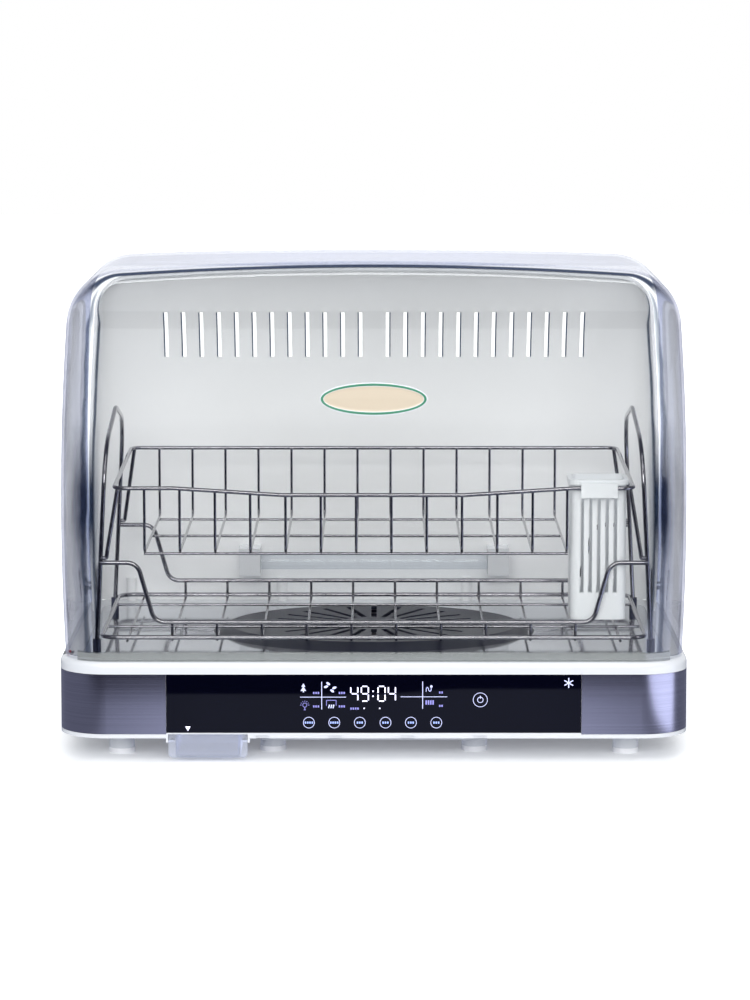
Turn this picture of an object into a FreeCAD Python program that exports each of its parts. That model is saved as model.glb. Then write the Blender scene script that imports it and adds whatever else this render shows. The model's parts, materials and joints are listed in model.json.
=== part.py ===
import FreeCAD, Part
import math
import os
import Sketcher
from FreeCAD import Placement, Rotation, Vector

# Countertop dish sterilizer cabinet, millimetres.
# +Z is up, the front faces -Y, and the origin lies on the table under the middle of the cabinet.

doc = FreeCAD.newDocument("DishSterilizer")

# Places read by fromSide, fromFront and fromRear are distances in from the base's outline.
SIZES = {
    # base casing
    "baseWidth": 550, "baseDepth": 350, "baseCorner": 42, "baseBottom": 20.5, "baseTop": 88,
    "baseWall": 2.5, "topThickness": 3, "topRound": 5,
    "bossRadius": 4.5, "bossInset": 26,
    # brushed side trims and the control glass, laid in a shallow recess around the base
    "claddingThickness": 2, "claddingTop": 76.9, "trimBottom": 24, "trimEnd": 53, "glassBottom": 25.3,
    "glassHalf": 180.5, "claddingFit": 0.2, "windowHalf": 118, "windowMargin": 5,
    "notchWidth": 11, "notchHeight": 2.5, "notchPitch": 63, "notchStart": -102, "notchCount": 4,
    # deck plate and the round cover over the fan
    "deckHalf": 19, "deckFront": 18, "deckRear": 33, "deckCorner": 24, "deckThickness": 1,
    "deckLedge": 6, "deckRecess": 1.2, "fanY": -9, "airHole": 97,
    "coverHalf": 146, "coverReach": 115, "coverRim": 4, "coverRise": 6.5, "coverWall": 2.5,
    "coverSlope": 14,
    "ventWidth": 5, "ventInner": 34, "ventOuter": 92, "ventCount": 24,
    # fan, motor and heater
    "housingRadius": 100, "housingWall": 2, "housingFlange": 112, "housingBottom": 31,
    "heaterSeat": 72, "seatWidth": 3, "intakeRadius": 80, "spiderRadius": 33, "spiderWidth": 12,
    "motorRadius": 28, "motorHeight": 19, "shaftRadius": 2.5, "shaftFit": 0.05,
    "impellerGap": 2, "hubRadius": 18, "impellerHeight": 18, "bladeTip": 88, "bladeWall": 2,
    "bladeCount": 7, "heaterHeight": 10, "heaterRing": 5, "finWidth": 2.2, "finPitch": 6.4,
    "finCount": 26, "cutoutRadius": 4.8, "cutoutHeight": 8,
    # bottom cover, its sunken pan and the feet
    "coverPlate": 2.5, "plateFit": 0.3, "panHalf": 106, "panFront": 40, "panRear": 35,
    "panBottom": 11, "panSlope": 8, "intakeSlot": 5, "intakePitch": 12, "intakeCount": 11,
    "intakeLength": 120,
    "footRadius": 11, "padRadius": 11.5, "padHeight": 4.5, "outerFootX": 53, "outerFootY": 45,
    "innerFootX": 89, "innerFootY": 54,
    # drip box and its guide
    "boxCentre": -144.3, "boxFrontWidth": 68.6, "boxWidth": 56.4, "boxBottom": 3.6, "boxTop": 23.7,
    "boxWall": 2, "boxDepth": 112, "boxCorner": 4, "boxFloor": 1.6, "lipBottom": 16.8,
    "lipThickness": 1.5, "lipReach": 5, "guideWall": 1.8, "guideGap": 0.35, "flangeThickness": 1.6,
    "spoutY": 37, "spoutRadius": 6, "spoutWall": 1.5, "spoutFlange": 12,
    # rear casing with its row of slots
    "rearInset": 6, "rearFront": 78, "rearBack": 10, "rearBend": 190, "rearBendZ": 266,
    "rearWall": 2.5, "rearCorner": 6, "rearShoulder": 34,
    "slotLow": 322, "slotHigh": 366, "slotWidth": 4.4, "slotPitch": 16.65, "slotCount": 12,
    "slotGap": 22.2,
    "rearBossX": 43, "rearBossInnerX": 88, "rearBossSink": 0.6, "rearBossHeight": 22,
    # hood
    "hoodFront": 4, "hoodBottom": 90, "hoodFoot": 4.5, "hoodShoulder": 12,
    "hoodShoulderZ": 424.2, "crownRadius": 3209, "sideRadius": 2330, "hoodCorner": 52,
    "hoodCrest": -25, "hoodFall": 457, "hoodRearDrop": 17,
    "hoodUpright": 38, "hoodBrow": 12, "hoodWall": 2.5, "hoodRear": 63, "hoodWaist": 330,
    "hoodWaistY": 53, "earTop": 152, "pivotY": 40, "pivotZ": 106, "earRadius": 15.5,
    "pinRadius": 4, "pinFit": 0.06, "pinHeadRadius": 8, "pinHeadHeight": 2.4, "pinHeadFit": 0.8,
    "bracketThickness": 2.3, "bracketHalf": 17, "bracketHeight": 36,
    "beadTop": 95, "beadHalf": 17, "beadLip": 2, "beadFit": 0.1, "beadTaper": 0.6,
    "badgeLength": 93, "badgeHeight": 29, "badgeZ": 317, "badgeThickness": 1.2,
    # lid switch
    "switchX": 6.7, "switchY": 49, "switchWidth": 9, "switchLength": 16, "switchDepth": 12,
    "plungerRadius": 2, "plungerRise": 1.8, "plungerFit": 0.05, "plungerTravel": 1.5,
    # control electronics
    "displayBoardHalf": 112, "boardThickness": 1.6, "displayLow": 31, "displayHigh": 72,
    "displayGap": 6, "ledHalf": 26, "ledX": 0, "ledBottom": 52, "ledTop": 70,
    "keyRadius": 3.6, "keyPitch": 22.3, "keyStart": -55.9, "keyZ": 35.6, "keyCount": 6,
    "powerKeyX": 93, "powerKeyZ": 55.2,
    "mainBoardX": 128, "mainBoardWidth": 104, "mainBoardY": -48, "mainBoardLength": 110,
    "standoff": 7, "standoffRadius": 3.4, "standoffInset": 8,
    "transformerSide": 34, "transformerHeight": 28, "relayWidth": 12, "relayLength": 20,
    "relayHeight": 15, "relayPitch": 18, "relayCount": 3,
    # mains inlet in the rear wall
    "inletX": 97, "inletZ": 50, "inletWidth": 28, "inletHeight": 21, "inletDepth": 22,
    "inletFlange": 5, "inletFlangeWall": 2, "inletWall": 2, "inletPin": 1.6, "inletPinPitch": 7,
    # ultraviolet lamp
    "lampRadius": 8, "lampHalf": 118, "lampY": 29, "lampZ": 128, "holderLength": 20,
    "holderDepth": 12, "holderHeight": 26, "lampSink": 10, "lampFit": 0.1,
    # racks
    "thickWire": 2, "railWire": 1.8, "thinWire": 1.2, "rackFront": 53, "rackRear": 60,
    "lowerHalf": 35, "ringZ": 100.5, "ringBend": 14, "archApex": 292, "archShoulder": 268,
    "archTopHalf": 41, "archBend": 46, "wireEndZ": 167, "wireMidZ": 114, "wireEndX": 67,
    "wireMidX": 82, "wireBend": 12, "lowerMargin": 22.75, "lowerCount": 12, "braceY": 60,
    "rackFootRadius": 3.6, "rackFootHeight": 10.5, "rackFootSole": 5.5, "sleeveFit": 0.4,
    "upperHalf": 47, "upperRimZ": 233, "upperDip": 227, "upperRearZ": 240, "dipX": 195, "rimX": 100,
    "upperFloor": 176, "upperCount": 12, "upperStart": 73.5, "upperLast": 135.5, "upperOffset": 0.4,
    "legKneeX": 41, "legKneeZ": 178, "legFootX": 35.5, "legBend": 3, "bayX": 105.2, "rimBend": 10,
    "upperBend": 6, "floorRailInset": 8,
    # chopstick holder
    "holderX": 77.5, "holderWidth": 49, "holderTop": 240, "holderBottom": 116, "holderWall": 1.8,
    "holderDeep": 44, "holderCorner": 8, "holderRim": 2, "rimHeight": 4.6, "clipWidth": 32,
    "clipBottom": 225, "clipWall": 2, "clipGap": 1.2, "grilleSlot": 3.4, "grillePitch": 7.3,
    "grilleCount": 5, "grilleBottom": 140, "grilleTop": 223,
    # fasteners
    "screwRadius": 1.75, "screwHead": 3.5, "screwHeadHeight": 2, "screwLength": 12, "screwFit": 0.1,
    # fine clearance between a moving part and what carries it
    "runGap": 0.3,
}

sheet = doc.addObject("Spreadsheet::Sheet", "Sizes")
for row, (alias, number) in enumerate(SIZES.items(), 1):
    sheet.set(f"A{row}", alias)
    sheet.set(f"B{row}", str(number))
    sheet.setAlias(f"B{row}", alias)
doc.recompute()


def text(value):
    return value.text if isinstance(value, Size) else repr(float(value))


class Size(float):
    """A number that keeps the spreadsheet expression it was worked out from."""

    def __new__(cls, number, expression):
        made = super().__new__(cls, number)
        made.text = expression
        return made

    def __add__(self, other):
        return Size(float(self) + float(other), f"({text(self)} + {text(other)})")

    def __radd__(self, other):
        return Size(float(other) + float(self), f"({text(other)} + {text(self)})")

    def __sub__(self, other):
        return Size(float(self) - float(other), f"({text(self)} - {text(other)})")

    def __rsub__(self, other):
        return Size(float(other) - float(self), f"({text(other)} - {text(self)})")

    def __mul__(self, other):
        return Size(float(self) * float(other), f"({text(self)} * {text(other)})")

    def __rmul__(self, other):
        return Size(float(other) * float(self), f"({text(other)} * {text(self)})")

    def __truediv__(self, other):
        return Size(float(self) / float(other), f"({text(self)} / {text(other)})")

    def __neg__(self):
        return Size(-float(self), f"(0 - {text(self)})")


def size(alias):
    return Size(sheet.get(alias), "Sizes." + alias)


def bind(obj, path, value):
    obj.setExpression(path, text(value))


# ---------------------------------------------------------------- plain solids

TURNS = {"X": Rotation(Vector(0, 1, 0), 90), "Y": Rotation(Vector(1, 0, 0), -90), "Z": Rotation()}


def place(obj, x, y, z):
    for axis, value in zip("xyz", (x, y, z)):
        bind(obj, "Placement.Base." + axis, value)
    return obj


def block(name, x, y, z):
    """A box given by its low and high side along each axis."""
    obj = doc.addObject("Part::Box", name)
    for path, (low, high) in zip(("Length", "Width", "Height"), (x, y, z)):
        bind(obj, path, high - low)
    return place(obj, x[0], y[0], z[0])


def rod(name, axis, radius, start, height):
    """A cylinder that runs from its start point along one axis."""
    obj = doc.addObject("Part::Cylinder", name)
    bind(obj, "Radius", radius)
    bind(obj, "Height", height)
    obj.Placement = Placement(Vector(), TURNS[axis])
    return place(obj, *start)


def fuse(name, pieces):
    obj = doc.addObject("Part::MultiFuse", name)
    obj.Shapes = list(pieces)
    return obj


def common(name, *pieces):
    obj = doc.addObject("Part::MultiCommon", name)
    obj.Shapes = list(pieces)
    return obj


def cut(name, base, tools):
    obj = doc.addObject("Part::Cut", name)
    obj.Base = base
    obj.Tool = tools[0] if len(tools) == 1 else fuse(name + "Tools", tools)
    return obj


# ---------------------------------------------------------------- bodies

def newBody(name):
    return doc.addObject("PartDesign::Body", name)


def origin(body, role):
    return next(item for item in body.Origin.OriginFeatures if item.Role == role)


def rectangle(x, y):
    return [(x[0], y[0]), (x[1], y[0]), (x[1], y[1]), (x[0], y[1])]


def roundRectangle(x, y, radius):
    """A rectangle with an arc at each corner."""
    (left, right), (front, rear) = x, y
    return [(left + radius, front), (right - radius, front, radius), (right, front + radius),
            (right, rear - radius, radius), (right - radius, rear), (left + radius, rear, radius),
            (left, rear - radius), (left, front + radius, radius)]


def arcBetween(start, end, radius):
    """The arc that leaves start, bulges to its right and comes to end."""
    half = (end - start) / 2
    inward = Vector(-half.y, half.x, 0).normalize()
    centre = start + half + inward * math.sqrt(radius ** 2 - half.Length ** 2)
    first, last = [math.atan2(p.y - centre.y, p.x - centre.x) for p in (start, end)]
    return Part.ArcOfCircle(Part.Circle(centre, Vector(0, 0, 1), radius), first, last)


def drawLoop(sketch, loop):
    """One closed outline, anticlockwise: (x, y) corners, or (x, y, radius) where an arc starts."""
    corners = [Vector(point[0], point[1], 0) for point in loop]
    edges = []
    for index, point in enumerate(loop):
        start, end = corners[index], corners[(index + 1) % len(loop)]
        if len(point) == 3:
            edges.append(sketch.addGeometry(arcBetween(start, end, point[2])))
        else:
            edges.append(sketch.addGeometry(Part.LineSegment(start, end)))
    for index, (edge, point) in enumerate(zip(edges, loop)):
        sketch.addConstraint(Sketcher.Constraint("Coincident", edge, 2, edges[(index + 1) % len(edges)], 1))
        for kind, value in zip(("DistanceX", "DistanceY"), point):
            number = sketch.addConstraint(Sketcher.Constraint(kind, -1, 1, edge, 1, float(value)))
            bind(sketch, f"Constraints[{number}]", value)
        if len(point) == 3:
            number = sketch.addConstraint(Sketcher.Constraint("Radius", edge, float(point[2])))
            bind(sketch, f"Constraints[{number}]", point[2])


def drawCircle(sketch, x, y, radius):
    circle = Part.Circle(Vector(x, y, 0), Vector(0, 0, 1), float(radius))
    edge = sketch.addGeometry(circle)
    for kind, value in (("DistanceX", x), ("DistanceY", y)):
        number = sketch.addConstraint(Sketcher.Constraint(kind, -1, 1, edge, 3, float(value)))
        bind(sketch, f"Constraints[{number}]", value)
    number = sketch.addConstraint(Sketcher.Constraint("Radius", edge, float(radius)))
    bind(sketch, f"Constraints[{number}]", radius)


def sketchOn(body, plane, level, loops):
    """A sketch at a world height over an origin plane; a lone (x, y, radius) tuple is a circle."""
    sketch = body.newObject("Sketcher::SketchObject", body.Name + "Sketch")
    sketch.AttachmentSupport = [(origin(body, plane), "")]
    sketch.MapMode = "FlatFace"
    bind(sketch, "AttachmentOffset.Base.z", -level if plane == "XZ_Plane" else level)
    for loop in loops:
        if isinstance(loop, tuple):
            drawCircle(sketch, *loop)
        else:
            drawLoop(sketch, loop)
    return sketch


def pad(body, plane, low, high, *loops):
    """Adds the outlines from low to high. The XZ plane faces -Y, so there the pad is reversed."""
    feature = body.newObject("PartDesign::Pad", body.Name + "Pad")
    feature.Profile = sketchOn(body, plane, low, loops)
    bind(feature, "Length", high - low)
    feature.Reversed = plane == "XZ_Plane"
    doc.recompute()
    return feature


def pocket(body, plane, low, high, *loops):
    """Cuts the outlines from low to high."""
    before = body.Shape.Volume
    feature = body.newObject("PartDesign::Pocket", body.Name + "Pocket")
    feature.Profile = sketchOn(body, plane, low if plane == "XZ_Plane" else high, loops)
    bind(feature, "Length", high - low)
    doc.recompute()
    if body.Shape.Volume > before - 0.01:
        raise RuntimeError(f"{feature.Name} cuts nothing")
    return feature


def touching(elements, kind, points):
    """Names of the edges or faces that pass through any of the points."""
    corners = [Part.Vertex(Vector(*point)) for point in points]
    return [f"{kind}{index}" for index, element in enumerate(elements, 1)
            if any(corner.distToShape(element)[0] < 1e-4 for corner in corners)]


def dress(body, kind, amount, points):
    """A fillet or chamfer on the edges through the points."""
    base = body.Tip
    feature = body.newObject("PartDesign::" + kind, body.Name + kind)
    feature.Base = (base, touching(base.Shape.Edges, "Edge", points))
    bind(feature, "Radius" if kind == "Fillet" else "Size", amount)
    doc.recompute()
    return feature


def revolve(body, loop):
    """Turns an (r, z) outline about the body's own Z axis."""
    feature = body.newObject("PartDesign::Revolution", body.Name + "Turn")
    feature.Profile = sketchOn(body, "XZ_Plane", 0, [loop])
    feature.ReferenceAxis = (origin(body, "Z_Axis"), [""])
    feature.Angle = 360
    doc.recompute()
    return feature


def repeatAlong(body, original, axis, pitch, count):
    feature = body.newObject("PartDesign::LinearPattern", body.Name + "Row")
    feature.Originals = [original]
    feature.Direction = (origin(body, axis), [""])
    bind(feature, "Length", pitch * (count - 1))
    bind(feature, "Occurrences", count)
    body.Tip = feature
    doc.recompute()


def repeatAround(body, original, count):
    feature = body.newObject("PartDesign::PolarPattern", body.Name + "Wheel")
    feature.Originals = [original]
    feature.Axis = (origin(body, "Z_Axis"), [""])
    feature.Angle = 360
    bind(feature, "Occurrences", count)
    body.Tip = feature
    doc.recompute()


# ---------------------------------------------------------------- shared places

nodes = []


def node(obj, label):
    obj.Label = label
    nodes.append(obj)
    return obj


flush = Size(0, "0")
halfWidth = size("baseWidth") / 2
halfDepth = size("baseDepth") / 2


def fromSide(name):
    """A place given by its distance in from the base's right side."""
    return halfWidth - size(name)


def fromFront(name):
    """A place given by its distance behind the base's front."""
    return size(name) - halfDepth


def fromRear(name):
    """A place given by its distance ahead of the base's rear."""
    return halfDepth - size(name)


baseBottom, baseTop = size("baseBottom"), size("baseTop")
underTop = baseTop - size("topThickness")
cladding, fit = size("claddingThickness"), size("claddingFit")
claddingTop = size("claddingTop")
wallFace = -halfDepth + cladding + size("baseWall")
deckTop = baseTop - size("deckRecess") + size("deckThickness")
deckUnder = baseTop - size("deckRecess")
fanY = size("fanY")
coverTop = baseBottom + size("coverPlate")
pivotY, pivotZ = fromRear("pivotY"), size("pivotZ")
screwRadius, screwFit = size("screwRadius"), size("screwFit")


def mirrored(*places):
    """Each (x, y) place and its mirror image across the middle of the cabinet."""
    return [(side * x, y) for side in (-1, 1) for x, y in places]


def baseOutline(inset):
    """The base's plan outline, drawn in by an inset."""
    x, y = halfWidth - inset, halfDepth - inset
    return roundRectangle((-x, x), (-y, y), size("baseCorner") - inset)


def band(name, low, high, inset):
    """A closed band between the base outline and its inset."""
    body = newBody(name)
    pad(body, "XY_Plane", low, high, baseOutline(flush), baseOutline(inset))
    return body


bossPlaces = mirrored((halfWidth - size("bossInset"), halfDepth - size("bossInset")),
                      (halfWidth - size("bossInset"), -(halfDepth - size("bossInset"))))
rearBossY = fromRear("rearBack") - size("rearWall") - size("bossRadius") + size("rearBossSink")
rearBossPlaces = mirrored((fromSide("rearBossX"), rearBossY), (size("rearBossInnerX"), rearBossY))
boxHalf = size("boxFrontWidth") / 2
boxX = size("boxCentre")
guideOuter = boxHalf + size("guideGap") + size("guideWall")
guideTop = size("boxTop") + size("guideGap") + size("guideWall")
guideRear = -halfDepth + size("boxDepth") + size("guideGap") + size("guideWall")


# ---------------------------------------------------------------- base casing

def deckOutline(inset):
    x = fromSide("deckHalf") - inset
    y = (fromFront("deckFront") + inset, fromRear("deckRear") - inset)
    return roundRectangle((-x, x), y, size("deckCorner") - inset)


def baseShell():
    body = newBody("BaseBlank")
    pad(body, "XY_Plane", baseBottom, baseTop, baseOutline(flush))
    dress(body, "Fillet", size("topRound"), [(0, -halfDepth, baseTop)])
    wall = size("baseWall") + cladding
    pocket(body, "XY_Plane", baseBottom, underTop, baseOutline(wall))
    pocket(body, "XY_Plane", deckUnder, baseTop, deckOutline(flush))
    pocket(body, "XY_Plane", underTop, deckUnder, deckOutline(size("deckLedge")))
    for x, y in bossPlaces:
        pad(body, "XY_Plane", coverTop, underTop, (x, y, size("bossRadius")))
    pocket(body, "XY_Plane", coverTop, coverTop + size("screwLength"),
           *[(x, y, screwRadius + screwFit) for x, y in bossPlaces])
    pocket(body, "XY_Plane", underTop, baseTop,
           *[(x, y, screwRadius + screwFit) for x, y in rearBossPlaces])
    low, high = size("displayLow") - size("windowMargin"), size("displayHigh")
    window = size("windowHalf")
    pocket(body, "XZ_Plane", -halfDepth, wallFace, rectangle((-window, window), (low, high)))
    notch = rectangle((size("notchStart"), size("notchStart") + size("notchWidth")),
                      (baseBottom, baseBottom + size("notchHeight")))
    first = pocket(body, "XZ_Plane", -halfDepth, -halfDepth + cladding, notch)
    repeatAlong(body, first, "X_Axis", size("notchPitch"), size("notchCount"))
    mouth = rectangle((boxX - guideOuter, boxX + guideOuter), (baseBottom, guideTop - size("guideWall")))
    pocket(body, "XZ_Plane", -halfDepth, wallFace, mouth)
    x, z = fromSide("inletX"), size("inletZ")
    wide, tall = size("inletWidth") / 2 + fit, size("inletHeight") / 2 + fit
    pocket(body, "XZ_Plane", halfDepth - wall, halfDepth,
           rectangle((x - wide, x + wide), (z - tall, z + tall)))
    x, y = -fromSide("switchX"), fromFront("switchY")
    wide, long = size("switchWidth") / 2, size("switchLength") / 2
    pocket(body, "XY_Plane", baseTop - size("switchDepth"), baseTop,
           rectangle((x - wide, x + wide), (y - long, y + long)))

    def recess(name, low, x, y):
        ring = band(name, low, claddingTop, cladding)
        return common(name + "Recess", ring, block(name + "Span", x, y, (low, claddingTop)))

    glass, end = size("glassHalf"), fromRear("trimEnd")
    recesses = [
        recess("LeftTrim", size("trimBottom"), (-halfWidth, -glass), (-halfDepth, end)),
        recess("RightTrim", size("trimBottom"), (glass, halfWidth), (-halfDepth, end)),
        recess("Glass", size("glassBottom"), (-glass, glass), (-halfDepth, wallFace)),
    ]
    node(cut("BaseShell", body, recesses), "base_shell")


def sideTrims():
    """A brushed steel strip wraps each front corner, from the glass to near the rear corner."""
    low, high = size("trimBottom") + fit, claddingTop - fit
    glass, end = size("glassHalf"), fromRear("trimEnd")
    for side, label in ((-1, "left"), (1, "right")):
        name = label.capitalize() + "Strip"
        ring = band(name, low, high, cladding)
        x = (-halfWidth, -glass - fit) if side < 0 else (glass + fit, halfWidth)
        span = block(name + "Span", x, (-halfDepth, end - fit), (low, high))
        node(common(name + "Cut", ring, span), "side_trim_" + label)


def controlGlass():
    body = newBody("ControlGlass")
    x = size("glassHalf") - fit
    pad(body, "XZ_Plane", -halfDepth, -halfDepth + cladding,
        rectangle((-x, x), (size("glassBottom") + fit, claddingTop - fit)))
    node(body, "control_glass")


def deckPlate():
    body = newBody("DeckPlate")
    pad(body, "XY_Plane", deckUnder, deckTop, deckOutline(fit))
    pocket(body, "XY_Plane", deckUnder, deckTop, (0, fanY, size("airHole")),
           (boxX, fromFront("spoutY"), size("spoutRadius") - size("spoutWall")))
    node(body, "deck_plate")


def oval(name, inset, z):
    """An ellipse around the fan, drawn in from the cover's rim."""
    obj = doc.addObject("Part::Ellipse", name)
    bind(obj, "MajorRadius", size("coverHalf") - inset)
    bind(obj, "MinorRadius", size("coverReach") - inset)
    return place(obj, 0, fanY, z)


def ovalDome(name, rim, slope, low, high):
    obj = doc.addObject("Part::Loft", name)
    obj.Sections = [oval(name + "Foot", rim, low), oval(name + "Brow", rim + slope, high)]
    obj.Solid = True
    return obj


def fanCover():
    wall, slope, rise = size("coverWall"), size("coverSlope"), size("coverRise")
    outer = ovalDome("CoverOuter", flush, slope, deckTop, deckTop + rise)
    inner = ovalDome("CoverInner", size("coverRim"), slope, deckTop, deckTop + rise - wall)
    half = size("ventWidth") / 2
    vents = newBody("CoverVents")
    slot = pad(vents, "XY_Plane", 0, rise,
               rectangle((size("ventInner"), size("ventOuter")), (-half, half)))
    repeatAround(vents, slot, size("ventCount"))
    place(vents, 0, fanY, deckTop)
    node(cut("FanCover", outer, [inner, vents]), "fan_cover")


# ---------------------------------------------------------------- warm air

def fanHousing():
    body = newBody("FanHousing")
    outer, wall, low = size("housingRadius"), size("housingWall"), size("housingBottom")
    seat, flange = size("heaterSeat"), size("housingFlange")
    inner = outer - wall
    revolve(body, [(0, low), (outer, low), (outer, deckUnder - wall), (flange, deckUnder - wall),
                   (flange, deckUnder), (inner, deckUnder), (inner, seat),
                   (inner - size("seatWidth"), seat), (inner - size("seatWidth"), low + wall),
                   (0, low + wall)])
    intake, spider, arm = size("intakeRadius"), size("spiderRadius"), size("spiderWidth") / 2
    quarter = [(spider, arm), (intake, arm), (arm, intake), (arm, spider)]
    window = pocket(body, "XY_Plane", low, low + wall, quarter)
    repeatAround(body, window, 4)
    place(body, 0, fanY, 0)
    node(body, "fan_housing")


def fanParts():
    floor = size("housingBottom") + size("housingWall")
    motorTop = floor + size("motorHeight")
    shaft, shaftFit = size("shaftRadius"), size("shaftFit")
    stator = rod("Stator", "Z", size("motorRadius"), (0, fanY, floor), size("motorHeight"))
    bore = rod("StatorBore", "Z", shaft + shaftFit, (0, fanY, floor), size("motorHeight"))
    node(cut("FanMotor", stator, [bore]), "fan_motor")

    impellerLow = motorTop + size("impellerGap")
    height = size("impellerHeight")
    spindle = rod("FanShaft", "Z", shaft, (0, fanY, floor + size("runGap")),
                  impellerLow + height - floor - size("runGap"))
    node(spindle, "fan_shaft")

    body = newBody("FanImpeller")
    hub, wall = size("hubRadius"), size("bladeWall")
    pad(body, "XY_Plane", 0, height, (0, 0, hub))
    lean = height / 2
    blade = pad(body, "YZ_Plane", hub / 2, size("bladeTip"),
                [(-lean, 0), (-lean + wall * 2, 0), (lean, height), (lean - wall * 2, height)])
    repeatAround(body, blade, size("bladeCount"))
    pocket(body, "XY_Plane", 0, height, (0, 0, shaft + shaftFit))
    place(body, 0, fanY, impellerLow)
    node(body, "fan_impeller")


def heater():
    """A ring of steel holds a row of aluminium fins across the air stream."""
    body = newBody("HeaterRing")
    outer = size("housingRadius") - size("housingWall") - size("runGap")
    inner = outer - size("heaterRing")
    seat, top = size("heaterSeat"), size("heaterSeat") + size("heaterHeight")
    pad(body, "XY_Plane", seat, top, (0, fanY, outer))
    pocket(body, "XY_Plane", seat, top, (0, fanY, inner))
    node(body, "heater_ring")
    half = size("finPitch") * (size("finCount") - 1) / 2
    fin = size("finWidth") / 2
    fins = newBody("HeaterFins")
    first = pad(fins, "XY_Plane", seat, top, rectangle((-half - fin, -half + fin), (-inner, inner)))
    repeatAlong(fins, first, "X_Axis", size("finPitch"), size("finCount"))
    bars = [rectangle((-half, half), (y - fin, y + fin)) for y in (-inner / 3, inner / 3)]
    pad(fins, "XY_Plane", seat, top, *bars)
    place(fins, 0, fanY, 0)
    disc = rod("HeaterField", "Z", inner, (0, fanY, seat), size("heaterHeight"))
    node(common("HeaterCore", fins, disc), "heater_core")
    cutout = rod("ThermalCutout", "Z", size("cutoutRadius"),
                 (size("housingRadius") + size("cutoutRadius") + fit, fanY,
                  deckUnder - size("housingWall") - size("cutoutHeight")), size("cutoutHeight"))
    node(cutout, "thermal_cutout")


# ---------------------------------------------------------------- underside

def outerFeet():
    x, y = fromSide("outerFootX"), fromRear("outerFootY")
    return mirrored((x, -y), (x, y))


def innerFeet():
    x, y = size("innerFootX"), fromRear("innerFootY")
    return mirrored((x, -y), (x, y))


def bottomCover():
    body = newBody("BottomCover")
    plate, wall = size("coverPlate"), size("baseWall")
    inset = wall + cladding + size("plateFit")
    pad(body, "XY_Plane", baseBottom, coverTop, baseOutline(inset))
    half, front, rear = size("panHalf"), fromFront("panFront"), fromRear("panRear")
    pan, slope = size("panBottom"), size("panSlope")
    pad(body, "XZ_Plane", front, rear,
        [(-half + slope, pan), (half - slope, pan), (half, baseBottom), (-half, baseBottom)])
    pocket(body, "XZ_Plane", front + plate, rear - plate,
           [(-half + slope + plate, pan + plate), (half - slope - plate, pan + plate),
            (half - plate, coverTop), (-half + plate, coverTop)])
    for x, y in outerFeet():
        pad(body, "XY_Plane", size("padHeight"), baseBottom, (x, y, size("footRadius")))
    for x, y in innerFeet():
        pad(body, "XY_Plane", size("padHeight"), pan + plate, (x, y, size("footRadius")))
    start = -size("intakePitch") * (size("intakeCount") - 1) / 2 - size("intakeSlot") / 2
    long = size("intakeLength") / 2
    slot = pocket(body, "XY_Plane", pan, pan + plate,
                  rectangle((start, start + size("intakeSlot")), (fanY - long, fanY + long)))
    repeatAlong(body, slot, "X_Axis", size("intakePitch"), size("intakeCount"))
    gap = size("runGap")
    mouth = rectangle((boxX - guideOuter - gap, boxX + guideOuter + gap), (-halfDepth, guideRear + gap))
    pocket(body, "XY_Plane", baseBottom, coverTop, mouth)
    pocket(body, "XY_Plane", baseBottom, coverTop,
           *[(x, y, screwRadius + screwFit) for x, y in bossPlaces])
    posts = boardPosts()
    pad(body, "XY_Plane", coverTop, coverTop + size("standoff"),
        *[(x, y, size("standoffRadius")) for x, y in posts])
    node(body, "bottom_cover")


def footPads():
    pads = [rod("FootPad", "Z", size("padRadius"), (x, y, 0), size("padHeight"))
            for x, y in outerFeet() + innerFeet()]
    node(fuse("FootPads", pads), "foot_pads")


def screws(name, places, head, direction):
    """Pan-head screws that stand on their heads; direction 1 drives them up, -1 down."""
    made = []
    for x, y in places:
        tall, long = size("screwHeadHeight"), size("screwLength") - 1
        start = head - tall if direction > 0 else head
        made.append(rod(name + "Head", "Z", size("screwHead"), (x, y, start), tall))
        shank = head if direction > 0 else head - long
        made.append(rod(name + "Shank", "Z", screwRadius, (x, y, shank), long))
    return fuse(name, made)


def fasteners():
    node(screws("CoverScrews", bossPlaces, baseBottom, 1), "bottom_screws")
    node(screws("RearScrews", rearBossPlaces, underTop, 1), "rear_casing_screws")


# ---------------------------------------------------------------- drip box

def dripGuide():
    """An inverted channel under the base carries the drip box on two inward lips."""
    body = newBody("DripGuide")
    outer, wall, gap = guideOuter, size("guideWall"), size("guideGap")
    low, lip = size("lipBottom"), size("lipThickness")
    inner = outer - wall
    reach = inner - size("lipReach")
    pad(body, "XZ_Plane", -halfDepth, guideRear, rectangle((boxX - outer, boxX + outer), (low, guideTop)))
    pocket(body, "XZ_Plane", -halfDepth, guideRear - wall,
           rectangle((boxX - inner, boxX + inner), (low + lip, guideTop - wall)))
    pocket(body, "XZ_Plane", -halfDepth, guideRear - wall,
           rectangle((boxX - reach, boxX + reach), (low, low + lip)))
    pocket(body, "XZ_Plane", -halfDepth, wallFace,
           rectangle((boxX - outer, boxX + outer), (guideTop - wall, guideTop)))
    clear = size("boxWall") + gap * 2
    pocket(body, "XZ_Plane", -halfDepth, -halfDepth + clear,
           rectangle((boxX - inner, boxX + inner), (low, low + lip)))
    pocket(body, "XY_Plane", guideTop - wall, guideTop,
           (boxX, fromFront("spoutY"), size("spoutRadius") + fit))
    node(body, "drip_guide")


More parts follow.
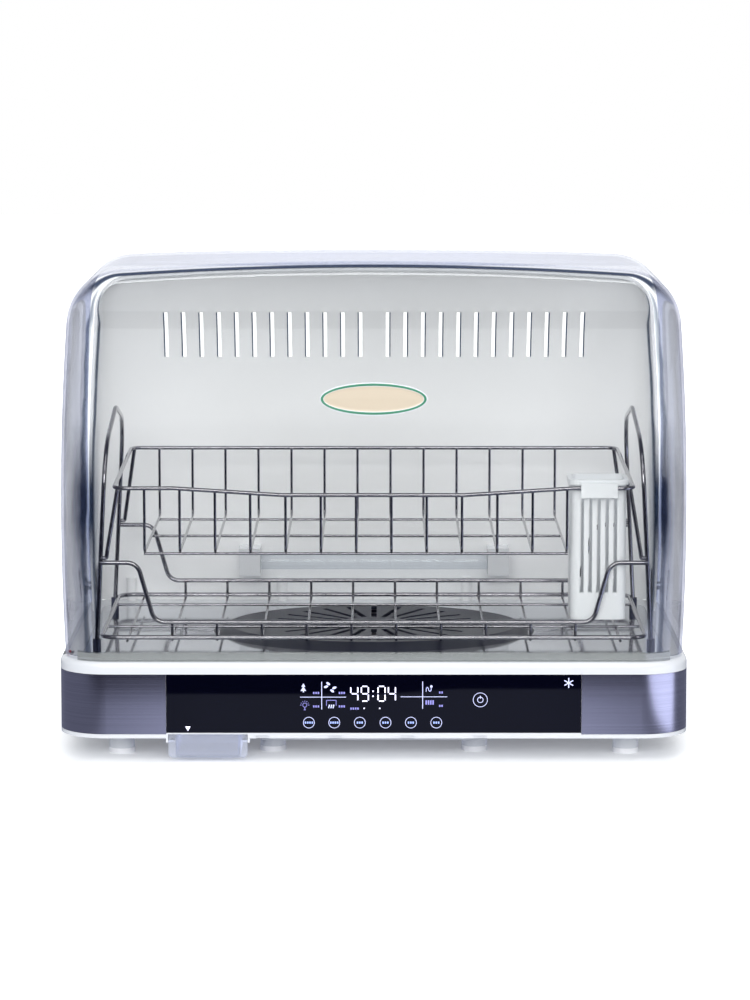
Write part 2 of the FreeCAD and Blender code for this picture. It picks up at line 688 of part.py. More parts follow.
def dripBox():
    body = newBody("DripBox")
    wall, gap = size("boxWall"), size("guideGap")
    low, top = size("boxBottom"), size("boxTop")
    half = size("boxWidth") / 2
    front, rear = -halfDepth, guideRear - size("guideWall") - gap
    pad(body, "XZ_Plane", front, front + wall, rectangle((boxX - boxHalf, boxX + boxHalf), (low, top)))
    dress(body, "Fillet", size("boxCorner"),
          [(boxX + side * boxHalf, front + wall / 2, low) for side in (-1, 1)])
    pad(body, "XZ_Plane", front + wall, rear, rectangle((boxX - half, boxX + half), (low, top - gap)))
    flange = half + size("lipReach") - gap
    bottom = size("lipBottom") + size("lipThickness") + gap
    pad(body, "XZ_Plane", front + wall, rear,
        rectangle((boxX - flange, boxX + flange), (bottom, bottom + size("flangeThickness"))))
    inner = half - wall
    pocket(body, "XY_Plane", low + size("boxFloor"), top, rectangle((boxX - inner, boxX + inner),
                                                                    (front + wall, rear - wall)))
    node(body, "drip_box")


def drainSpout():
    body = newBody("DrainSpout")
    radius, wall, flange = size("spoutRadius"), size("spoutWall"), size("spoutFlange")
    bottom = guideTop - size("guideWall")
    revolve(body, [(radius - wall, bottom), (radius, bottom), (radius, deckUnder - wall),
                   (flange, deckUnder - wall), (flange, deckUnder), (radius - wall, deckUnder)])
    place(body, boxX, fromFront("spoutY"), 0)
    node(body, "drain_spout")


# ---------------------------------------------------------------- electrics

def boardPosts():
    x, y = size("mainBoardX"), size("mainBoardY")
    inset = size("standoffInset")
    return [(x + a, y + b)
            for a in (inset, size("mainBoardWidth") - inset)
            for b in (inset, size("mainBoardLength") - inset)]


def mainBoard():
    x, y = size("mainBoardX"), size("mainBoardY")
    wide, long = size("mainBoardWidth"), size("mainBoardLength")
    low = coverTop + size("standoff")
    high = low + size("boardThickness")
    node(block("MainBoard", (x, x + wide), (y, y + long), (low, high)), "main_board")
    side = size("transformerSide")
    inset = size("standoffInset") + size("standoffRadius") + 1
    node(block("Transformer", (x + inset, x + inset + side), (y + inset, y + inset + side),
               (high, high + size("transformerHeight"))), "transformer")
    start = x + inset + side + size("relayPitch") - size("relayWidth")
    relays = []
    for index in range(round(size("relayCount"))):
        left = start + size("relayPitch") * index
        if left + size("relayWidth") < x + wide:
            relays.append(block("Relay", (left, left + size("relayWidth")),
                                (y + inset, y + inset + size("relayLength")),
                                (high, high + size("relayHeight"))))
    node(fuse("Relays", relays), "relays")


def displayParts():
    """The display board stands behind the glass on its light pipe and its key springs."""
    glassBack = -halfDepth + cladding
    front = glassBack + size("displayGap")
    half = size("displayBoardHalf")
    node(block("DisplayBoard", (-half, half), (front, front + size("boardThickness")),
               (size("displayLow"), size("displayHigh"))), "display_board")
    led = size("ledHalf")
    node(block("LedDisplay", (size("ledX") - led, size("ledX") + led), (glassBack, front),
               (size("ledBottom"), size("ledTop"))), "led_display")
    places = [(size("keyStart") + size("keyPitch") * index, size("keyZ"))
              for index in range(round(size("keyCount")))]
    places.append((size("powerKeyX"), size("powerKeyZ")))
    springs = [rod("KeySpring", "Y", size("keyRadius"), (x, glassBack, z), size("displayGap"))
               for x, z in places]
    node(fuse("KeySprings", springs), "key_springs")


def powerInlet():
    """A mains socket held from inside the rear wall, flush with it, with its two pins."""
    x, z = fromSide("inletX"), size("inletZ")
    wide, tall = size("inletWidth") / 2, size("inletHeight") / 2
    inside = halfDepth - size("baseWall") - cladding
    rim, wall = size("inletFlange"), size("inletWall")
    body = newBody("PowerInlet")
    pad(body, "XZ_Plane", inside - size("inletFlangeWall"), inside,
        rectangle((x - wide - rim, x + wide + rim), (z - tall - rim, z + tall + rim)))
    pad(body, "XZ_Plane", halfDepth - size("inletDepth"), halfDepth,
        rectangle((x - wide, x + wide), (z - tall, z + tall)))
    floor = halfDepth - size("inletDepth") + wall
    pocket(body, "XZ_Plane", floor, halfDepth,
           rectangle((x - wide + wall, x + wide - wall), (z - tall + wall, z + tall - wall)))
    node(body, "power_inlet")
    pins = [rod("InletPin", "Y", size("inletPin"), (x + side * size("inletPinPitch"), floor, z),
                size("inletDepth") - wall * 2) for side in (-1, 1)]
    node(fuse("InletPins", pins), "inlet_pins")


def lidSwitch():
    """A small switch in the left front corner of the base, pressed by the hood's edge."""
    x, y = -fromSide("switchX"), fromFront("switchY")
    wide, long, gap = size("switchWidth") / 2 - fit, size("switchLength") / 2 - fit, size("plungerFit")
    low = baseTop - size("switchDepth")
    radius = size("plungerRadius")
    travel = size("plungerTravel")
    top = baseTop + size("plungerRise")
    case = block("SwitchCase", (x - wide, x + wide), (y - long, y + long), (low, baseTop))
    well = rod("SwitchWell", "Z", radius + gap, (x, y, top - travel - size("screwLength") / 2),
               size("screwLength"))
    node(cut("SwitchBody", case, [well]), "lid_switch_body")
    stem = rod("SwitchPlunger", "Z", radius,
               (x, y, top - size("screwLength") / 2 + size("runGap")),
               size("screwLength") / 2 - size("runGap"))
    node(stem, "lid_switch_plunger")


# ---------------------------------------------------------------- rear casing

def rearSolid(name, inset):
    """The rear casing's bulk: it follows the hood from the front and curves forward at the top."""
    gap, front = size("rearInset") + inset, fromRear("rearFront")
    back, bend, bendZ = fromRear("rearBack") - inset, size("rearBend") - inset, size("rearBendZ")
    brow = bendZ + math.sqrt(bend ** 2 - (front - back + bend) ** 2)
    face = newBody(name + "Face")
    drop = size("hoodRearDrop")
    pad(face, "XZ_Plane", front, back, hoodOutline(gap, drop, baseTop))
    dress(face, "Fillet", size("rearShoulder") - inset,
          [(side * (fromSide("hoodShoulder") - gap), (front + back) / 2, size("hoodShoulderZ") - gap - drop)
           for side in (-1, 1)])
    cheek = newBody(name + "Cheek")
    pad(cheek, "YZ_Plane", -halfWidth, halfWidth,
        [(front, baseTop), (back, baseTop), (back, bendZ, bend), (front, brow)])
    bulk = common(name + "Bulk", face, cheek)
    doc.recompute()
    rounded = doc.addObject("Part::Fillet", name)
    rounded.Base = bulk
    corners = [(side * (fromSide("hoodFoot") - gap), back, baseTop) for side in (-1, 1)]
    radius = float(size("rearCorner") - inset)
    rounded.Edges = [(int(edge[4:]), radius, radius)
                     for edge in touching(bulk.Shape.Edges, "Edge", corners)
                     if bulk.Shape.Edges[int(edge[4:]) - 1].BoundBox.ZLength > 1]
    doc.recompute()
    return rounded


def rearCasing():
    front, back, wall = fromRear("rearFront"), fromRear("rearBack"), size("rearWall")
    outer, inner = rearSolid("RearOuter", flush), rearSolid("RearInner", wall)
    slots = []
    row = (size("slotCount") - 1) * size("slotPitch") + size("slotWidth")
    for start in (-size("slotGap") / 2 - row, size("slotGap") / 2):
        body = newBody("SlotRow")
        slot = pad(body, "XZ_Plane", front + wall, back,
                   rectangle((start, start + size("slotWidth")), (size("slotLow"), size("slotHigh"))))
        repeatAlong(body, slot, "X_Axis", size("slotPitch"), size("slotCount"))
        slots.append(body)
    pinHole = rod("CheekBore", "X", size("pinRadius"), (-halfWidth, pivotY, pivotZ), halfWidth * 2)
    walls = cut("RearWalls", outer, [inner, pinHole] + slots)
    bosses, bores = newBody("RearBosses"), newBody("RearBores")
    pad(bosses, "XY_Plane", baseTop, baseTop + size("rearBossHeight"),
        *[(x, y, size("bossRadius")) for x, y in rearBossPlaces])
    pad(bores, "XY_Plane", baseTop, baseTop + size("screwLength"),
        *[(x, y, screwRadius + screwFit) for x, y in rearBossPlaces])
    node(cut("RearCasing", fuse("RearBossed", [walls, bosses]), [bores]), "rear_casing")


# ---------------------------------------------------------------- hinges

def hinges():
    """A steel plate inside each cheek holds the pin that the hood's ear turns on."""
    cheek = fromSide("hoodFoot") - size("rearInset") - size("rearWall") - fit
    plate, half, tall = size("bracketThickness"), size("bracketHalf"), size("bracketHeight")
    head = earOuter() + size("pinHeadFit")
    for side, label in ((-1, "left"), (1, "right")):
        name = label.capitalize()
        near, far = cheek - plate, cheek
        x = (-far, -near) if side < 0 else (near, far)
        slab = block(name + "Slab", x, (pivotY - half, pivotY + half), (baseTop, baseTop + tall))
        hole = rod(name + "SlabHole", "X", size("pinRadius"), (x[0], pivotY, pivotZ), plate)
        node(cut(name + "Bracket", slab, [hole]), "hinge_bracket_" + label)
        start = -head if side < 0 else near
        shank = rod(name + "PinShank", "X", size("pinRadius"), (start, pivotY, pivotZ), head - near)
        start = -head - size("pinHeadHeight") if side < 0 else head
        cap = rod(name + "PinHead", "X", size("pinHeadRadius"), (start, pivotY, pivotZ),
                  size("pinHeadHeight"))
        node(fuse(name + "Pin", [shank, cap]), "hinge_pin_" + label)


def earOuter():
    """Half width of the hood's outer face at the height of the hinge pin."""
    foot, shoulder = fromSide("hoodFoot"), fromSide("hoodShoulder")
    low, high = size("hoodBottom"), size("hoodShoulderZ")
    chord = math.hypot(foot - shoulder, high - low)
    along = (pivotZ - (low + high) / 2)
    radius = size("sideRadius")
    bulge = math.sqrt(radius ** 2 - along ** 2) - math.sqrt(radius ** 2 - (chord / 2) ** 2)
    return foot + (shoulder - foot) * ((pivotZ - low) / (high - low)) + bulge


# ---------------------------------------------------------------- hood

def hoodOutline(inset, drop, low):
    """The hood seen from the front: bowed sides and a crowned top, lowered by a drop."""
    foot, shoulder = fromSide("hoodFoot") - inset, fromSide("hoodShoulder") - inset
    high = size("hoodShoulderZ") - inset - drop
    side, crown = size("sideRadius") - inset, size("crownRadius") - inset
    return [(-foot, low), (foot, low, side), (shoulder, high, crown), (-shoulder, high, side)]


def crownTop(inset):
    """Height of the top along the middle of the hood."""
    radius, half = size("crownRadius") - inset, fromSide("hoodShoulder") - inset
    return size("hoodShoulderZ") - inset + radius - math.sqrt(radius ** 2 - half ** 2)


def hoodSolid(name, inset, front, rear):
    """The hood's bulk, drawn in by an inset: the top falls away behind its crest."""
    body = newBody(name)
    low = size("hoodBottom")
    shoulder, high = fromSide("hoodShoulder") - inset, size("hoodShoulderZ") - inset
    pad(body, "XZ_Plane", front, rear, hoodOutline(inset, flush, low))
    dress(body, "Fillet", size("hoodCorner") - inset,
          [(end * shoulder, (front + rear) / 2, high) for end in (-1, 1)])
    rounded = doc.addObject("Part::Fillet", name + "Rim")
    rounded.Base = body
    upright, brow = size("hoodUpright") - inset, size("hoodBrow") - inset
    edges = []
    for index, edge in enumerate(body.Shape.Edges, 1):
        box = edge.BoundBox
        if box.YMax > front + 0.01 or box.ZMax < low + 1:
            continue
        if box.ZMin < low + 1:
            radii = (upright, upright)
        elif box.XMin < 0 < box.XMax:
            radii = (brow, brow)
        else:
            first = edge.valueAt(edge.FirstParameter)
            last = edge.valueAt(edge.LastParameter)
            radii = (upright, brow) if first.z < last.z else (brow, upright)
        edges.append((index, float(radii[0]), float(radii[1])))
    rounded.Edges = edges
    side = newBody(name + "Side")
    crest, fall, top = size("hoodCrest"), size("hoodFall") - inset, crownTop(inset)
    tail = top - fall + math.sqrt(fall ** 2 - (rear - crest) ** 2)
    pad(side, "YZ_Plane", -halfWidth, halfWidth,
        [(front - 1, low), (rear, low), (rear, tail, fall), (crest, top), (crest, top + 1),
         (front - 1, top + 1)])
    return common(name + "Bulk", rounded, side)


def hood():
    wall, front, rear = size("hoodWall"), fromFront("hoodFront"), fromRear("hoodRear")
    ear = size("earRadius")
    end = pivotY + ear
    outer = hoodSolid("HoodOuter", 0, front, end)
    inner = hoodSolid("HoodInner", wall, front + wall, end + wall)
    walls = cut("HoodWalls", outer, [inner])
    trim = newBody("HoodTrim")
    high = size("hoodShoulderZ") + size("hoodCorner")
    waist, waistY, earTop = size("hoodWaist"), fromRear("hoodWaistY"), size("earTop")
    pad(trim, "YZ_Plane", -halfWidth, halfWidth,
        [(end, earTop), (end + wall, earTop), (end + wall, high), (rear, high), (rear, waist + ear),
         (waistY, waist)])
    corner = newBody("EarCorner")
    bottom = size("hoodBottom")
    pad(corner, "YZ_Plane", -halfWidth, halfWidth, rectangle((pivotY, end + wall), (bottom, pivotZ)))
    pocket(corner, "YZ_Plane", -halfWidth, halfWidth, (pivotY, pivotZ, ear))
    bore = rod("EarBore", "X", size("pinRadius") + size("pinFit"), (-halfWidth, pivotY, pivotZ),
               halfWidth * 2)
    node(cut("Hood", walls, [trim, corner, bore]), "hood")


def hoodBead():
    """A clear bar clipped over the hood's lower edge, along the front and into the corners."""
    low, high, lip = baseTop, size("beadTop"), size("beadLip")
    front, wall, fitting = fromFront("hoodFront"), size("hoodWall"), size("beadFit")
    bottom = size("hoodBottom")
    foot, upright = fromSide("hoodFoot"), size("hoodUpright")

    def slab(name, base, top, grow):
        body = newBody(name)
        x, y = foot + grow, -front + grow
        pad(body, "XY_Plane", base, top, rectangle((-x, x), (-y, y)))
        middle = (base + top) / 2
        dress(body, "Fillet", upright + grow, [(a * x, -y, middle) for a in (-1, 1)])
        return body

    bar = cut("BeadBar", slab("BeadOuter", low, high, lip),
              [slab("BeadInner", low, high, -wall - lip)])
    groove = cut("BeadGroove", slab("GrooveOuter", bottom, high, size("beadTaper")),
                 [slab("GrooveInner", bottom, high, -wall - fitting)])
    span = block("BeadSpan", (-fromSide("beadHalf"), fromSide("beadHalf")), (front - lip, front + upright),
                 (low, high))
    node(cut("Bead", common("BeadLength", bar, span), [groove]), "hood_bead")


def hoodBadge():
    oval = doc.addObject("Part::Ellipse", "BadgeOval")
    bind(oval, "MajorRadius", size("badgeLength") / 2)
    bind(oval, "MinorRadius", size("badgeHeight") / 2)
    oval.Placement = Placement(Vector(), Rotation(Vector(1, 0, 0), 90))
    place(oval, 0, fromFront("hoodFront"), size("badgeZ"))
    badge = doc.addObject("Part::Extrusion", "Badge")
    badge.Base = oval
    badge.DirMode = "Custom"
    badge.Dir = Vector(0, -1, 0)
    bind(badge, "LengthFwd", size("badgeThickness"))
    badge.Solid = True
    node(badge, "hood_badge")


# ---------------------------------------------------------------- ultraviolet lamp

def uvLamp():
    y, z, radius = fromRear("lampY"), size("lampZ"), size("lampRadius")
    half, sink = size("lampHalf"), size("lampSink")
    node(rod("UvLamp", "X", radius, (-half, y, z), half * 2), "uv_lamp")
    holders = []
    tall, deep, long = size("holderHeight") / 2, size("holderDepth"), size("holderLength")
    for side, name in ((-1, "Left"), (1, "Right")):
        near, far = half - sink, half - sink + long
        x = (-far, -near) if side < 0 else (near, far)
        case = block(name + "Holder", x, (y - deep, fromRear("rearBack") - size("rearWall")),
                     (z - tall, z + tall))
        start = -half - fit if side < 0 else near
        well = rod(name + "HolderWell", "X", radius + size("lampFit"), (start, y, z), sink + fit)
        holders.append(cut(name + "LampHolder", case, [well]))
    node(fuse("LampHolders", holders), "lamp_holders")


# ---------------------------------------------------------------- wire racks

def bentPath(points, bend, closed=False):
    """Straight runs through the points, joined by arcs of one bend radius."""
    points = [Vector(*point) for point in points]
    count = len(points)
    corners = []
    for index, point in enumerate(points):
        if not closed and index in (0, count - 1):
            corners.append((point, point, None))
            continue
        back = (points[index - 1] - point).normalize()
        ahead = (points[(index + 1) % count] - point).normalize()
        half = back.getAngle(ahead) / 2
        reach = bend / math.tan(half)
        middle = (back + ahead).normalize()
        top = point + middle * (bend / math.sin(half) - bend)
        corners.append((point + back * reach, point + ahead * reach, top))
    edges = []
    for index in range(count if closed else count - 1):
        start, end, top = corners[index]
        if top is not None:
            edges.append(Part.Arc(start, top, end).toShape())
        edges.append(Part.LineSegment(end, corners[(index + 1) % count][0]).toShape())
    return Part.Wire(edges)


def wireAlong(points, radius, bend, closed=False):
    """A round wire bent along the points."""
    path = bentPath(points, float(bend), closed)
    edge = path.OrderedEdges[0]
    start, ahead = edge.valueAt(edge.FirstParameter), edge.tangentAt(edge.FirstParameter)
    profile = Part.Wire(Part.Circle(start, ahead, float(radius)).toShape())
    return path.makePipeShell([profile], True, False, 1)


def wireNode(label, wires):
    """Welded wires that make one node."""
    obj = doc.addObject("Part::Feature", "".join(word.capitalize() for word in label.split("_")))
    obj.Shape = wires[0].fuse(wires[1:]) if len(wires) > 1 else wires[0]
    return node(obj, label)


def archX(z):
    """Half width of the lower rack's leaning side loop at a height."""
    low, high = size("ringZ"), size("archApex")
    foot = lowerFootX()
    return foot + (fromSide("archTopHalf") - foot) * ((z - low) / (high - low))


def lowerFootX():
    return fromSide("lowerHalf") + size("thickWire") * 2


def lowerRack():
    thick, thin = size("thickWire"), size("thinWire")
    front, rear, ringZ = fromFront("rackFront"), fromRear("rackRear"), size("ringZ")
    half, apex, shoulder = fromSide("lowerHalf"), size("archApex"), size("archShoulder")
    ring = [(-half, front, ringZ), (half, front, ringZ), (half, rear, ringZ), (-half, rear, ringZ)]
    wireNode("lower_rack_ring", [wireAlong(ring, thick, size("ringBend"), True)])

    legFront, legRear = front + thick * 2, rear - thick * 2
    foot = deckTop + size("rackFootSole")
    middle = (front + rear) / 2
    for side, label in ((-1, "left"), (1, "right")):
        end = foot + size("runGap")
        heights = [(legFront, end), (legFront, shoulder), (middle, apex), (legRear, shoulder),
                   (legRear, end)]
        loop = [(side * archX(z), y, z) for y, z in heights]
        wireNode("lower_rack_loop_" + label, [wireAlong(loop, thick, size("archBend"))])

    high, low = size("wireEndZ"), size("wireMidZ")
    out, near, end = fromSide("wireEndX"), fromSide("wireMidX"), archX(high)
    for y, label in ((front, "front"), (rear, "rear")):
        line = [(-end, y, high), (-out, y, high), (-near, y, low), (near, y, low), (out, y, high),
                (end, y, high)]
        wireNode("lower_rack_rail_" + label, [wireAlong(line, thick, size("wireBend"))])

    count = round(size("lowerCount"))
    pitch = (half - size("lowerMargin")) * 2 / (count - 1)
    below = ringZ - thick - thin
    inner, outer = front + thick + thin, rear - thick - thin
    across = []
    for index in range(count):
        x = pitch * (index - (count - 1) / 2)
        line = [(x, front, below), (x, rear, below)]
        if abs(x) < near:
            line = [(x, inner, low), (x, inner, below), (x, outer, below), (x, outer, low)]
        across.append(wireAlong(line, thin, thin * 3))
    for y in (-size("braceY"), size("braceY")):
        end = half - thick
        across.append(wireAlong([(-end, y, below + thin * 2), (end, y, below + thin * 2)], thin, thin))
    wireNode("lower_rack_floor", across)

    feet = doc.addObject("Part::Feature", "RackFeet")
    made = []
    for side in (-1, 1):
        for y in (legFront, legRear):
            x = side * archX(foot)
            sleeve = Part.makeCylinder(size("rackFootRadius"), size("rackFootHeight"), Vector(x, y, deckTop))
            well = Part.makeCylinder(thick + size("sleeveFit"), size("rackFootHeight"), Vector(x, y, foot))
            made.append(sleeve.cut(well))
    feet.Shape = made[0].fuse(made[1:])
    node(feet, "lower_rack_feet")


def upperRack():
    rail, thin = size("railWire"), size("thinWire")
    front = fromFront("rackFront") - size("upperOffset")
    rear = fromRear("rackRear") + size("upperOffset")
    half, rimZ, rearZ = fromSide("upperHalf"), size("upperRimZ"), size("upperRearZ")
    dip, dipX, rimX = size("upperDip"), fromSide("dipX"), fromSide("rimX")
    rim = [(-half, front, rimZ), (-rimX, front, rimZ), (-dipX, front, dip), (dipX, front, dip),
           (rimX, front, rimZ), (half, front, rimZ), (half, rear, rearZ), (-half, rear, rearZ)]
    wireNode("upper_rack_rim", [wireAlong(rim, rail, size("rimBend"), True)])

    corner = size("rimBend") * (1 - math.sqrt(0.5))
    footZ = size("wireEndZ") + size("thickWire") + rail + size("runGap")
    legs = []
    for side in (-1, 1):
        for y, inward, top in ((front, 1, rimZ), (rear, -1, rearZ)):
            line = [(side * (half - corner), y + inward * corner, top - rail),
                    (side * fromSide("legKneeX"), y, size("legKneeZ")),
                    (side * (fromSide("legKneeX") + 1), y, footZ), (side * fromSide("legFootX"), y, footZ)]
            legs.append(wireAlong(line, rail, size("legBend") * 0.5))
    wireNode("upper_rack_legs", legs)

    inner, outer, floor = front + rail + thin, rear - rail - thin, size("upperFloor")

    def trough(x, radius):
        near, far = abs(x) - dipX, rimX - dipX
        top = dip + (rimZ - dip) * min(max(near / far, 0), 1)
        line = [(x, inner, top), (x, inner, floor), (x, outer, floor), (x, outer, rearZ)]
        return wireAlong(line, radius, size("upperBend"))

    start, count = -fromSide("upperStart"), round(size("upperCount"))
    pitch = (fromSide("upperLast") - start) / (count - 1)
    troughs = [trough(start + pitch * index, thin) for index in range(count)]
    bay = fromSide("bayX")
    troughs.append(trough(bay, thin))
    below = floor - thin * 2
    for y in (inner + size("floorRailInset"), (front + rear) / 2, outer - size("floorRailInset")):
        troughs.append(wireAlong([(start - thin, y, below), (bay + thin, y, below)], thin, thin))
    wireNode("upper_rack_floor", troughs)


def chopstickHolder():
    """A slotted cup in the open bay of the upper rack, hooked over its front rail."""
    body = newBody("ChopstickHolder")
    rail, gap = size("railWire"), size("clipGap")
    railY = fromFront("rackFront") - size("upperOffset")
    low, high, wall = size("holderBottom"), size("holderTop"), size("holderWall")
    x, half, corner = fromSide("holderX"), size("holderWidth") / 2, size("holderCorner")
    near = railY + rail + gap
    far = near + size("holderDeep")

    def outline(grow):
        return roundRectangle((x - half - grow, x + half + grow), (near - grow, far + grow), corner + grow)

    pad(body, "XY_Plane", low, high, outline(flush))
    pad(body, "XY_Plane", high - size("rimHeight"), high, outline(size("holderRim")))
    pocket(body, "XY_Plane", low + wall, high, outline(-wall))
    railTop, clip = size("upperRimZ") + rail + gap, size("clipWall")
    reach, hook = railY - rail - gap, size("clipBottom")
    wide = size("clipWidth") / 2
    pad(body, "YZ_Plane", x - wide, x + wide,
        [(reach - clip, hook), (reach, hook), (reach, railTop), (near, railTop),
         (near, railTop + clip), (reach - clip, railTop + clip)])
    slot = size("grilleSlot") / 2
    start = x - size("grillePitch") * (size("grilleCount") - 1) / 2
    first = pocket(body, "XZ_Plane", near, far,
                   rectangle((start - slot, start + slot), (size("grilleBottom"), size("grilleTop"))))
    repeatAlong(body, first, "X_Axis", size("grillePitch"), size("grilleCount"))
    drain = pocket(body, "XY_Plane", low, low + wall,
                   (start, (near + far) / 2, slot))
    repeatAlong(body, drain, "X_Axis", size("grillePitch"), size("grilleCount"))
    node(body, "chopstick_holder")


# ---------------------------------------------------------------- build and write

for build in (baseShell, sideTrims, controlGlass, deckPlate, fanCover, fanHousing, fanParts, heater,
              bottomCover, footPads, fasteners, dripGuide, dripBox, drainSpout, mainBoard, displayParts,
              powerInlet, lidSwitch, rearCasing, hinges, hood, hoodBead, hoodBadge, uvLamp, lowerRack,
              upperRack, chopstickHolder):
    build()
    doc.recompute()

for obj in doc.Objects:
    if {"Invalid", "Error"} & set(obj.State):
        raise RuntimeError(f"{obj.Name} failed: {obj.State}")
for obj in nodes:
    if obj.Shape.isNull() or not obj.Shape.isValid() or not obj.Shape.Solids:
        raise RuntimeError(f"{obj.Label} is not a valid solid")

os.makedirs("parts", exist_ok=True)
for obj in nodes:
    obj.Shape.exportStep(f"parts/{obj.Label}.step")
    box = obj.Shape.BoundBox
    print(f"{obj.Label:22s} solids {len(obj.Shape.Solids):3d}  volume {obj.Shape.Volume / 1000:9.2f} cm3"
          f"  z {box.ZMin:6.1f} {box.ZMax:6.1f}")
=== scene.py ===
import json
import math

import bpy
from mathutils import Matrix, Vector

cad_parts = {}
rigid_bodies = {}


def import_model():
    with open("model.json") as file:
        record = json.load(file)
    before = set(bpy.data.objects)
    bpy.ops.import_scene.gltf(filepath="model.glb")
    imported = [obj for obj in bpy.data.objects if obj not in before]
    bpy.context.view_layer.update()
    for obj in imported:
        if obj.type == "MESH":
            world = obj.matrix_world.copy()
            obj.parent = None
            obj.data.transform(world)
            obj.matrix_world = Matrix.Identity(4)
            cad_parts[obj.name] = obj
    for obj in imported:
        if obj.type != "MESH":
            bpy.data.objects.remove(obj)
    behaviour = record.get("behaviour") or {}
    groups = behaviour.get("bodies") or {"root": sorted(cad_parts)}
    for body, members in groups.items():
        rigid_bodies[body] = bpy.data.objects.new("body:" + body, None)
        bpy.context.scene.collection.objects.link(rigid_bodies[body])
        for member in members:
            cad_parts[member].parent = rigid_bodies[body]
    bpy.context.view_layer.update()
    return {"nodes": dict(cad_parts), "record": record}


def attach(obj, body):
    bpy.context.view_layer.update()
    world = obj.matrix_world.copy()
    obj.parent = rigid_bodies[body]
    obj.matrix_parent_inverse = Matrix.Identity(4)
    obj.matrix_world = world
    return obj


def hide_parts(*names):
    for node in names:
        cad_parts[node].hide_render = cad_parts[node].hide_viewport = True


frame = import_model()
nodeObjects = frame["nodes"]
slotOfNode = {part["node"]: part["material_slot"] for part in frame["record"]["subparts"]}
scene = bpy.context.scene


# helpers for modelling

def deselectAll():
    if bpy.context.object and bpy.context.object.mode != "OBJECT":
        bpy.ops.object.mode_set(mode="OBJECT")
    bpy.ops.object.select_all(action="DESELECT")


def pick(*objects):
    deselectAll()
    for item in objects:
        item.select_set(True)
    bpy.context.view_layer.objects.active = objects[0]


def named(name):
    piece = bpy.context.object
    piece.name = name
    piece.data.name = name
    return piece


def editFaces(piece, test):
    # leaves the piece in edit mode with only the faces that pass the test selected
    pick(piece)
    bpy.ops.object.mode_set(mode="EDIT")
    bpy.ops.mesh.select_mode(type="FACE")
    bpy.ops.mesh.select_all(action="DESELECT")
    bpy.ops.object.mode_set(mode="OBJECT")
    for face in piece.data.polygons:
        face.select = test(face)
    bpy.ops.object.mode_set(mode="EDIT")


def applyAll(piece):
    pick(piece)
    for modifier in list(piece.modifiers):
        bpy.ops.object.modifier_apply(modifier=modifier.name)


def settle(piece, body, *materials, angle=30):
    pick(piece)
    bpy.ops.object.transform_apply(location=True, rotation=True, scale=True)
    bpy.ops.object.shade_smooth_by_angle(angle=math.radians(angle))
    for material in materials:
        piece.data.materials.append(material)
    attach(piece, body)


def joined(name, parts):
    pick(*parts)
    bpy.ops.object.join()
    return named(name)


def facing(place, aim):
    return (Vector(aim) - Vector(place)).to_track_quat("-Z", "Y").to_euler()


# helpers for materials

def newMaterial(name):
    material = bpy.data.materials.new(name)
    material.use_nodes = True
    nodes, links = material.node_tree.nodes, material.node_tree.links
    return material, nodes, links, nodes["Principled BSDF"]


def objectPattern(nodes, links, scale, stretch=(1, 1, 1), detail=4.0):
    # noise on the piece's own coordinates, in units of one metre
    coords = nodes.new("ShaderNodeTexCoord")
    mapping = nodes.new("ShaderNodeMapping")
    mapping.inputs["Scale"].default_value = stretch
    noise = nodes.new("ShaderNodeTexNoise")
    noise.inputs["Scale"].default_value = scale
    noise.inputs["Detail"].default_value = detail
    links.new(coords.outputs["Object"], mapping.inputs["Vector"])
    links.new(mapping.outputs["Vector"], noise.inputs["Vector"])
    return noise.outputs["Fac"]


def axesOf(nodes, links, space="Object"):
    coords = nodes.new("ShaderNodeTexCoord")
    axes = nodes.new("ShaderNodeSeparateXYZ")
    links.new(coords.outputs[space], axes.inputs["Vector"])
    return axes.outputs


def feed(links, socket, value):
    # a number or colour is set on the socket, and an output is linked to it
    if isinstance(value, (int, float, tuple)):
        socket.default_value = value
    else:
        links.new(value, socket)


def mathNode(nodes, links, operation, *values):
    node = nodes.new("ShaderNodeMath")
    node.operation = operation
    for socket, value in zip(node.inputs, values):
        feed(links, socket, value)
    return node.outputs[0]


def smoothStep(nodes, links, value, low, high, toLow=0.0, toHigh=1.0):
    node = nodes.new("ShaderNodeMapRange")
    node.interpolation_type = "SMOOTHSTEP"
    node.inputs["From Min"].default_value = low
    node.inputs["From Max"].default_value = high
    node.inputs["To Min"].default_value = toLow
    node.inputs["To Max"].default_value = toHigh
    links.new(value, node.inputs["Value"])
    return node.outputs["Result"]


def mixedColour(nodes, links, share, first, second, blend="MIX"):
    node = nodes.new("ShaderNodeMix")
    node.data_type = "RGBA"
    node.blend_type = blend
    for name, value in (("Factor", share), ("A", first), ("B", second)):
        feed(links, node.inputs[name], value)
    return node.outputs["Result"]


def mixedShader(nodes, links, share, first, second):
    node = nodes.new("ShaderNodeMixShader")
    for socket, value in zip(node.inputs, (share, first, second)):
        feed(links, socket, value)
    return node.outputs[0]


def ramp(nodes, links, factor, *stops):
    node = nodes.new("ShaderNodeValToRGB")
    while len(node.color_ramp.elements) < len(stops):
        node.color_ramp.elements.new(0.5)
    for element, (place, colour) in zip(node.color_ramp.elements, stops):
        element.position = place
        element.color = (*colour, 1)
    links.new(factor, node.inputs["Fac"])
    return node.outputs["Color"]


def greyRamp(nodes, links, factor, *stops):
    return ramp(nodes, links, factor, *[(place, (tone, tone, tone)) for place, tone in stops])


def spread(nodes, links, factor, low, high):
    node = nodes.new("ShaderNodeMapRange")
    node.inputs["To Min"].default_value = low
    node.inputs["To Max"].default_value = high
    links.new(factor, node.inputs["Value"])
    return node.outputs["Result"]


